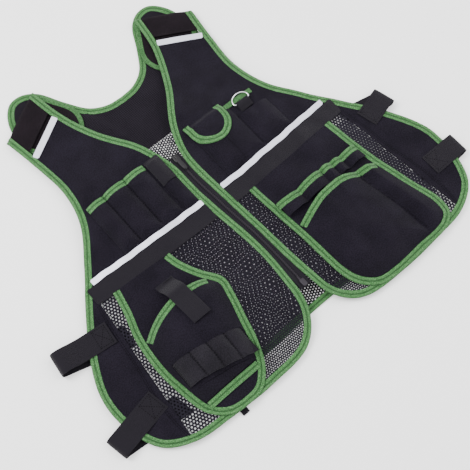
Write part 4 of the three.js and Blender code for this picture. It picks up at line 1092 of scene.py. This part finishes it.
def build_zip():
    ys = np.linspace(ZIP_BOTTOM, ZIP_TOP, 60)
    for side, name in SIDES:
        near, far = (pairs(zip_centre(ys) + side * out, ys) for out in (0.3, 10.0))
        plan = np.vstack([near, far[::-1]])
        cut_piece(f"zip_ribbon_{name}", plan, on_front, ZIP_TAPE_LAYER, WEB_BLACK, 4.0,
                  f"zip_tape_{name}")
    ys = np.arange(ZIP_BOTTOM + 14, ZIP_TOP - 15, TOOTH_PITCH)
    teeth = [tooth(y, 1 if k % 2 else -1) for k, y in enumerate(ys)]
    moulded_piece("zip_teeth", teeth, NYLON, "zip_coil")
    x, y = float(zip_centre(ZIP_TOP)), ZIP_TOP - 8
    body = rounded_block(oval(x, y, 5.4, 8.0, power=3.2), 2.6, 5.2, 0.9)
    foot = rounded_block(oval(x, y, 4.6, 7.4, power=3.2), -0.4, 0.6, 0.3)
    bridge = rounded_block(oval(x, y + 2, 1.6, 4.5), 4.6, 7.6, 0.8)
    core = rounded_block(oval(x, y + 6.4, 1.8, 1.4), 0.2, 3.2, 0.2)
    pull = rounded_block(oval(x, y - 13, 3.6, 12.5, 28, 3.4), 5.6, 7.1, 0.5)
    knob = rounded_block(oval(x, y - 21, 2.6, 3.2), 6.6, 7.9, 0.6)
    moulded_piece("zip_slider_body", [body, foot, bridge, core, pull, knob], SLIDER_DARK, "zip_slider")
    x, y = float(zip_centre(ZIP_BOTTOM)), ZIP_BOTTOM + 7
    box = rounded_block(oval(x, y, 4.4, 6.8, power=4), 0.4, 4.8, 0.8)
    pin = rounded_block(oval(x - 1.2, y + 9, 0.9, 5.0), 1.2, 3.0, 0.4)
    moulded_piece("zip_pin_and_box", [box, pin], NYLON, "zip_pin_box")


# Side straps: out over the edge, round the folded end and back underneath
STRAP_TOP = 10.4
STRAP_FOOT = 0.9
SEWN_NEAR = 4.0
SEWN_FAR = 26.0
SEWN_HALF = 15.0


def build_strap(name, sewn, fold, anchor, swell):
    a, f, b = placed([sewn, fold, anchor])
    out = unit(f - a)
    radius = (STRAP_TOP - STRAP_FOOT) / 2
    run = np.linalg.norm(f - a) - radius
    ds = np.linspace(0, run, 26)
    over = a + out * ds[:, None]
    rest = 1 - smooth(ds / max(run * 0.5, 1))
    bulge = swell * np.exp(-((run - ds - 6) / 22.0) ** 2)
    levels = np.maximum(lift(over[:, 0], over[:, 1]) + 2.9, STRAP_TOP) * rest + STRAP_TOP * (1 - rest) + bulge
    grown = (levels[-1] - STRAP_FOOT) / 2
    angles = np.linspace(0, math.pi, 14)[1:-1]
    turn = a + out * (run + radius * np.sin(angles))[:, None]
    back = b - over[-1]
    length = min(np.linalg.norm(back), run + 24)
    under = over[-1] + unit(back) * np.linspace(0, length, 20)[:, None]
    centre = np.vstack([over, turn, under])
    heights = [levels, STRAP_FOOT + grown + grown * np.cos(angles), np.full(len(under), STRAP_FOOT)]
    points = resample(to_metres(centre[:, 0], centre[:, 1], np.concatenate(heights)), 0.003)
    sideways = np.array([-out[1], out[0]])
    ribbon(f"{name}_web", points, (*sideways, 0.0), STRAP_WIDTH, WEBBING, name)
    box = rectangle(SEWN_NEAR, SEWN_FAR, -SEWN_HALF, SEWN_HALF)
    corners = np.array([a + out * u + sideways * v for u, v in box[[0, 3, 2, 1]]])
    rows = [closed_line(corners), corners[[0, 2]], corners[[1, 3]]]
    level = lambda x, y: levels[0] + 0.95 - lift(x, y)
    seam(f"{name}_sewing", rows, level, (1.4, 0.5, 0.4))


def build_hem_tab():
    low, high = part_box("hem_tab")
    middle = np.array([(low.x + high.x) / 2, 0, 0.0011])
    points = middle + np.linspace(low.y, high.y, 24)[:, None] * (0, 1, 0)
    ribbon("hem_tab_web", points, (1, 0, 0), (high.x - low.x) * 1000, WEBBING, "hem_tab", 3)


# Pockets: a height is a number or a function of the place; under is the height of a shell's underside
def over(height, by):
    return lambda x, y: height(x, y) + by


def puff_of(seams, height, reach, soften=1.0):
    """Swell of a shell that is held down along its seams."""
    def puff(x, y):
        nearest = np.min([distance_to(x, y, np.asarray(s, float)) for s in seams], axis=0)
        return height * (1 - (1 - clamp01(nearest / reach)) ** 2) ** soften
    return puff


def hanging(puff, mouth, gap, fold, run):
    """Height of a flap sewn down above its fold, and lying on the swell of the pocket below it."""
    return lambda x, y: FLAP_GROUND + (puff(x, np.minimum(y, mouth)) + gap) * smooth((fold - y) / run)


def upright(x, low, high):
    return [(x, low), (x, high)]


def paired(line, gap=SEAM_HALF_GAP):
    """Two rows of stitches beside a line."""
    return [np.asarray(line, float) + (d, 0) for d in (-gap, gap)]


def strip_top(x):
    return belt_top(x) + STRIP_WIDTH + 0.6


def chest_bottom(x0, x1):
    xs = np.linspace(x0, x1, 20)
    return pairs(xs, strip_top(xs))


def shell(
    name, outline, under, node_name, rests_on, pitch=3.0, material=CLOTH_BLACK, wall=WALL
):
    cut_piece(name, outline, on_front, (under, over(under, wall)), material, pitch, node_name, rests_on)


def mouth_tape(name, line, under, node_name):
    binding(name, line, -1, on_front, over(under, WALL / 2), node_name, step=3.0)


def build_pen_pocket():
    outer, first, second, inner = -176.0, -143.0, -101.0, -61.0
    top = BELT_HEIGHT + 120
    low = float(strip_top(outer))
    bottom = chest_bottom(outer, inner)
    body = puff_of([upright(x, low - 6, top) for x in (outer, first, second, inner)] + [bottom], 9.0, 17.0)
    under = lambda x, y: CHEST_GROUND + body(x, y) * (1 - 0.35 * np.exp(-((top - y) / 16.0) ** 2))
    outline = np.vstack([bottom, [(inner, top - 5), (outer, top - 5)]])
    shell("pen_tubes", outline, under, "pen_pocket", "chest_cloth_right")
    mouth_tape("pen_tape", pairs(np.linspace(outer, inner, 60), top), under, "pen_pocket_edging")
    rows = [row for x in (first, second) for row in paired(upright(x, low + 4, top - 1))]
    seam("pen_seams", rows, lambda x, y: under(x, y) + SEAM_OVER + 0.9 * (y > top - EDGING))


def build_slim_pocket():
    outer, inner, top = -56.0, -31.0, BELT_HEIGHT + 107
    low = float(strip_top(outer))
    bottom = chest_bottom(outer, inner)
    puff = puff_of([upright(outer, low, top), upright(inner, low, top), bottom], 6.0, 13.0)
    outline = np.vstack([bottom, [(inner, top), (outer, top)]])
    shell("slim_tube", outline, over(puff, CHEST_GROUND), "slim_pocket", "chest_cloth_right")
    tab_top, tab_low = BELT_HEIGHT + 120, BELT_HEIGHT + 67
    flap = rectangle(outer - 2, inner, tab_low, tab_top)
    drop = hanging(puff, top, 1.6, tab_top - 1, 9.0)
    shell("slim_flap", flap, drop, "slim_pocket_tab", "slim_tube", 3.0, WEB_BLACK, WEBBING)
    seam("slim_flap_seam", [[(outer, tab_top - 3), (inner - 2, tab_top - 3)]], 4.3)


def flap_outline(shrink):
    inner, outer = 30.0, 107.0
    middle, radius = (inner + outer) / 2, (outer - inner) / 2
    reach = radius - shrink
    top = BELT_HEIGHT + 125
    curve = arc((middle, BELT_HEIGHT + 66 + radius), (reach, reach), math.pi, 2 * math.pi, 33)
    return np.vstack([(middle - reach, top), curve, (middle + reach, top)])


def build_chest_pocket():
    inner, split, outer = 34.0, 116.0, 176.0
    top, low_top = BELT_HEIGHT + 107, BELT_HEIGHT + 83
    low = float(strip_top(outer))
    bottom = chest_bottom(inner, outer)
    puff = puff_of([upright(x, low, top) for x in (inner, split, outer)] + [bottom], 8.0, 26.0)
    under = over(puff, CHEST_GROUND)
    outline = np.vstack([bottom, [(outer, low_top), (split, low_top), (split, top), (inner, top)]])
    outline = outline[inside(outline, inset(FRONTS[1], 6)) | (outline[:, 0] < 150)]
    shell("chest_pouches", outline, under, "chest_pocket", "chest_cloth_left")
    drop = hanging(puff, top, 1.7, BELT_HEIGHT + 124, 12.0)
    shell("chest_flap", flap_outline(8), drop, "pocket_flap", "chest_pouches")
    binding("flap_tape", flap_outline(0), 1, on_front, over(drop, WALL / 2), "flap_edging", step=3.0)
    rows = paired(upright(split, low + 4, low_top)) + [upright(74.0, low, BELT_HEIGHT + 62)]
    seam("chest_pocket_seams", rows, over(under, SEAM_OVER))


# The ring and what holds it, in metres
RING_WIRE = 0.0011
RING_CORNER = 0.002
LOOP_RADIUS = 0.0019


def build_ring():
    low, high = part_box("d_ring")
    z = (low.z + high.z) / 2
    y0 = low.y + RING_WIRE
    half = (high.x - low.x) / 2 - RING_WIRE
    mid = (low.x + high.x) / 2
    bend, side = y0 + RING_CORNER, half - RING_CORNER
    reach = high.y - RING_WIRE - bend
    corner = (RING_CORNER, RING_CORNER)
    bow = np.linspace(0, math.pi, 30)[1:-1]
    plan = np.vstack([
        pairs(mid + np.linspace(-side, side, 14), y0),
        arc((mid + side, bend), corner, -math.pi / 2, 0, 6)[1:],
        pairs(mid + half * np.cos(bow), bend + reach * np.sin(bow) ** 0.85),
        arc((mid - side, bend), corner, math.pi, 1.5 * math.pi, 6)[:-1],
    ])
    ring = wire_loop("ring_wire", np.insert(plan, 2, z, axis=1), RING_WIRE, STEEL)
    finish_piece(ring, "d_ring", "ring")
    low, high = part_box("ring_loop")
    foot = low.z + 0.0015
    path = np.vstack([
        [(low.y, foot + 0.0012), (low.y + 0.004, foot + 0.0020), (y0 - 0.004, z + LOOP_RADIUS * 0.8)],
        arc((y0, z), (LOOP_RADIUS, LOOP_RADIUS), math.pi * 0.62, -math.pi * 0.55, 16),
        [(y0 - 0.004, foot + 0.0008), (low.y + 0.001, foot - 0.0004)],
    ])
    path = np.insert(resample(path, 0.0006), 0, (low.x + high.x) / 2, axis=1)
    ribbon("ring_web", path, (1, 0, 0), 25.0, 1.3, "ring_loop", 5)
    y = BELT_HEIGHT + 112
    plan = rectangle(110.0, 168.0, y - 4.5, y + 4.5)
    cut_piece("ring_green_tape", plan, on_front, RING_TAPE_LAYER, GREEN, 2.5, "ring_tape")


# Pocket panels below the belt, and the pockets on them
def build_panel(side, name, node_name, rests_on):
    outline = PANELS[side]
    belt_low = lambda x: belt_top(x, 2 - BELT_WIDTH)
    below = lambda x, y: y < belt_low(x)
    field = clipped(inset(outline, UNDER_TAPE), below, belt_low)
    cut_piece(f"{name}_cloth", field, on_front, PANEL_LAYER, CLOTH_BLACK, 6.0,
              node_name, rests_on)
    edge = stretches(resample(outline, 0.5), below)
    middle = (PANEL_LOW + PANEL_TOP) / 2
    binding(f"{name}_tape", edge, turning(outline), on_front, middle, f"{node_name}_edging")
    return inset(outline, EDGING + 0.6)


def mouth_height(rows):
    line = curve_through(placed(rows))
    line = line[np.argsort(line[:, 0])]
    return lambda x: np.interp(x, line[:, 0], line[:, 1])


def pocket_on_panel(name, tape_name, inner, mouth, under, node_name, edging_node, rests_on, bottom=-LENGTH):
    """A pocket from its bottom up to its curved mouth, with tape along the mouth."""
    high = lambda x: mouth(x) - 5
    outline = clipped(inner, lambda x, y: (y < high(x)) & (y > bottom), high)
    shell(name, outline, under, node_name, rests_on, 4.0)
    xs = xs_within(inner[:, 0].min(), inner[:, 0].max(), 400, lambda x: mouth(x) - 3, inner)
    mouth_tape(tape_name, pairs(xs, mouth(xs)), under, edging_node)


def build_large_pocket():
    inner = build_panel(1, "large", "large_panel", "front_net_left")
    split = np.array([(190.0, 186.0), (214.0, 6.0)])
    mouth = mouth_height(LARGE_MOUTH)
    body = puff_of([closed_line(inner), split], 15.0, 44.0)

    def under(x, y):
        swell, below = body(x, y), mouth(x) - y
        gathers = 0.9 * np.sin(x / 3.4 + 1.6 * np.sin(x / 11.0)) * np.exp(-((below - 14) / 15.0) ** 2)
        fuller = 1 + 0.14 * np.exp(-(below / 26.0) ** 2)
        return PANEL_GROUND + swell * fuller + gathers * clamp01(swell / 4)

    pocket_on_panel("large_pouch", "large_mouth_tape", inner, mouth, under,
                    "large_pocket", "large_pocket_edging", "large_cloth")
    seam("large_pocket_seam", paired(split + ((0, -20), (0, 22))), over(under, SEAM_OVER))
    build_tool_loops()


def build_tool_loops():
    stops = [50.0, 98.0, 148.0, 171.0, 191.0, 228.0]
    low, top = LENGTH * 0.28, LENGTH * 0.28 + 29
    puff = puff_of([upright(x, low - 12, top + 12) for x in stops], 10.5, 20.0, 0.8)
    under = over(puff, PANEL_TOP + 0.3)
    panel = inset(PANELS[1], EDGING - 2)
    outline = resample(rectangle(stops[0], stops[-1], low, top - 6), 3.0, closed=True)
    shell("loop_cloth", outline[inside(outline, panel)], under, "tool_loops", "large_cloth", 2.5)
    xs = xs_within(stops[0], stops[-1], 200, lambda x: top - 4, panel)
    mouth_tape("loop_tape", pairs(xs, top + 1.2 * np.sin(xs / 19.0)), under, "tool_loops_edging")
    seam("loop_seams", [upright(x, low, top - 12) for x in stops[1:-1]], over(under, 1.5))


def build_pouch():
    inner = build_panel(-1, "tool", "tool_panel", "front_net_right")
    floor_line = np.array([(-HALF_WIDTH, POUCH_BASE), (0.0, POUCH_BASE)])
    body = puff_of([closed_line(inner), floor_line], 25.0, 52.0)
    mouth = mouth_height(POUCH_MOUTH)

    def under(x, y):
        swell = body(x, y)
        creases = 0.9 * np.sin(x / 7.5 + y / 34.0) * np.exp(-((mouth(x) - y - 30) / 30.0) ** 2)
        return PANEL_GROUND + swell + creases * clamp01(swell / 8)

    pocket_on_panel("pouch_cloth", "pouch_mouth_tape", inner, mouth, under,
                    "tool_pouch", "pouch_mouth_edging", "tool_cloth", POUCH_BASE + 1)
    xs = xs_within(-HALF_WIDTH, 0, 400, lambda x: POUCH_BASE - 6, inset(PANELS[-1], EDGING - 1))
    binding("pouch_base_tape", pairs(xs, POUCH_BASE), -1, on_front, PANEL_TOP + 1.6,
            "pouch_base_edging", step=3.0)
    build_pouch_tab(mouth, under)
    build_bit_loops(under)


def build_pouch_tab(mouth, under):
    """Webbing sewn to the panel above the mouth and closed down over the pouch."""
    top, low, x_top, lean = LENGTH * 0.356, LENGTH * 0.217, -162.0, -0.06
    ys = np.linspace(top, low, 60)
    xs = x_top + (ys - top) * lean
    edge = float(mouth(x_top))
    high = under(xs, np.minimum(ys, edge - 2)) + WALL + 2.2
    rise = smooth((top - 4 - ys) / (top - 4 - edge))
    h = (PANEL_TOP + 1.2) * (1 - rise) + high * rise + 1.1
    ribbon("pouch_tab_web", resample(on_front(xs, ys, h), 0.002), (-1, 0, 0), 32.0, WEBBING, "pouch_tab", 6)
    rows = [[(x_top - 14, top - down), (x_top + 13, top - down)] for down in (3, 12)]
    seam("pouch_tab_sewing", rows, PANEL_TOP + 3.3)


def build_bit_loops(under):
    """A band sewn down between four small loops, across the lower pouch."""
    outer, inner, slope, tall, count = -236.0, -123.0, -0.22, 43.0, 4
    y_low = lambda x: LENGTH * 0.13 + (x - (outer + inner) / 2) * slope - tall / 2
    ripple = lambda x: 7.2 * np.abs(np.sin(math.pi * count * (x - outer) / (inner - outer))) ** 0.7
    lifted = lambda x, y: under(x, y) + WALL + 0.3 + ripple(x)
    xs = np.linspace(outer, inner, 40)
    field = np.vstack([pairs(xs, y_low(xs)), pairs(xs, y_low(xs) + tall)[::-1]])
    shell("bit_band", field, lifted, "bit_loops", "pouch_cloth", 2.5, BAND_BLACK)
    lower = resample([(-234.0, 66.0), (-166.0, 55.0), (-133.0, 47.5)], 3.0)
    seam("pouch_lower_seam", [lower], over(under, WALL + 0.2))
    stops = np.linspace(outer, inner, count + 1)
    rows = [row for x in stops for row in paired(upright(x, y_low(x), y_low(x) + tall), 0.8)]
    seam("bit_seams", rows, over(lifted, SEAM_OVER))


# Room, light and camera, in metres
FLOOR_REACH = 6.0
FLOOR_LEVEL = -0.0004
# Lamps: name, place, power in watts, size
LAMPS = [("key", (-0.9, 0.9, 1.8), 58.0, 1.1), ("fill", (1.3, -0.6, 1.6), 26.0, 1.6)]
CAMERA_ELEVATION = 68.0
CAMERA_AZIMUTH = -41.25
CAMERA_DISTANCE = 1.52
CAMERA_TARGET = (-0.0131, -0.1037, 0.0)
SENSOR_WIDTH = 36.0
FOCAL_LENGTH_PIXELS = 950.0
FRAME_PIXELS = 470.0


def place_object(name, data, place, facing):
    """Adds a lamp or camera that looks along a direction."""
    obj = bpy.data.objects.new(name, data)
    obj.location = place
    obj.rotation_mode = "QUATERNION"
    obj.rotation_quaternion = facing.to_track_quat("-Z", "Y")
    bpy.context.scene.collection.objects.link(obj)
    return obj


def build_room():
    mesh = bpy.data.meshes.new("floor")
    corners = rectangle(-FLOOR_REACH, FLOOR_REACH, -FLOOR_REACH, FLOOR_REACH)
    mesh.from_pydata([(x, y, FLOOR_LEVEL) for x, y in corners], [], [(0, 1, 2, 3)])
    floor = bpy.data.objects.new("floor", mesh)
    bpy.context.scene.collection.objects.link(floor)
    material, _, bsdf = shader("floor_white", 0.9, 0.1)
    bsdf.inputs["Base Color"].default_value = (0.95, 0.95, 0.95, 1)
    bsdf.inputs["Emission Color"].default_value = (1, 1, 1, 1)
    bsdf.inputs["Emission Strength"].default_value = 0.12
    mesh.materials.append(material)
    world = bpy.data.worlds.new("studio")
    bpy.context.scene.world = world
    world.use_nodes = True
    background = world.node_tree.nodes["Background"]
    background.inputs["Color"].default_value = (1, 1, 1, 1)
    background.inputs["Strength"].default_value = 1.75
    for name, place, power, size in LAMPS:
        data = bpy.data.lights.new(name, "AREA")
        data.energy = power
        data.size = size
        place_object(name, data, place, -Vector(place))


def build_camera():
    data = bpy.data.cameras.new("camera")
    data.sensor_width = SENSOR_WIDTH
    data.lens = SENSOR_WIDTH * FOCAL_LENGTH_PIXELS / FRAME_PIXELS
    a, e = math.radians(CAMERA_AZIMUTH), math.radians(CAMERA_ELEVATION)
    back = Vector((math.sin(a) * math.cos(e), -math.cos(a) * math.cos(e), math.sin(e)))
    place = Vector(CAMERA_TARGET) + back * CAMERA_DISTANCE
    bpy.context.scene.camera = place_object("camera", data, place, -back)


build_camera()
build_room()
build_back()
for side, name in SIDES:
    front_parts(side, name)
    belt_and_strips(side, name)
    build_pad(side, name)
build_zip()
for strap in STRAPS:
    build_strap(*strap)
build_hem_tab()
build_pen_pocket()
build_slim_pocket()
build_chest_pocket()
build_ring()
build_large_pocket()
build_pouch()
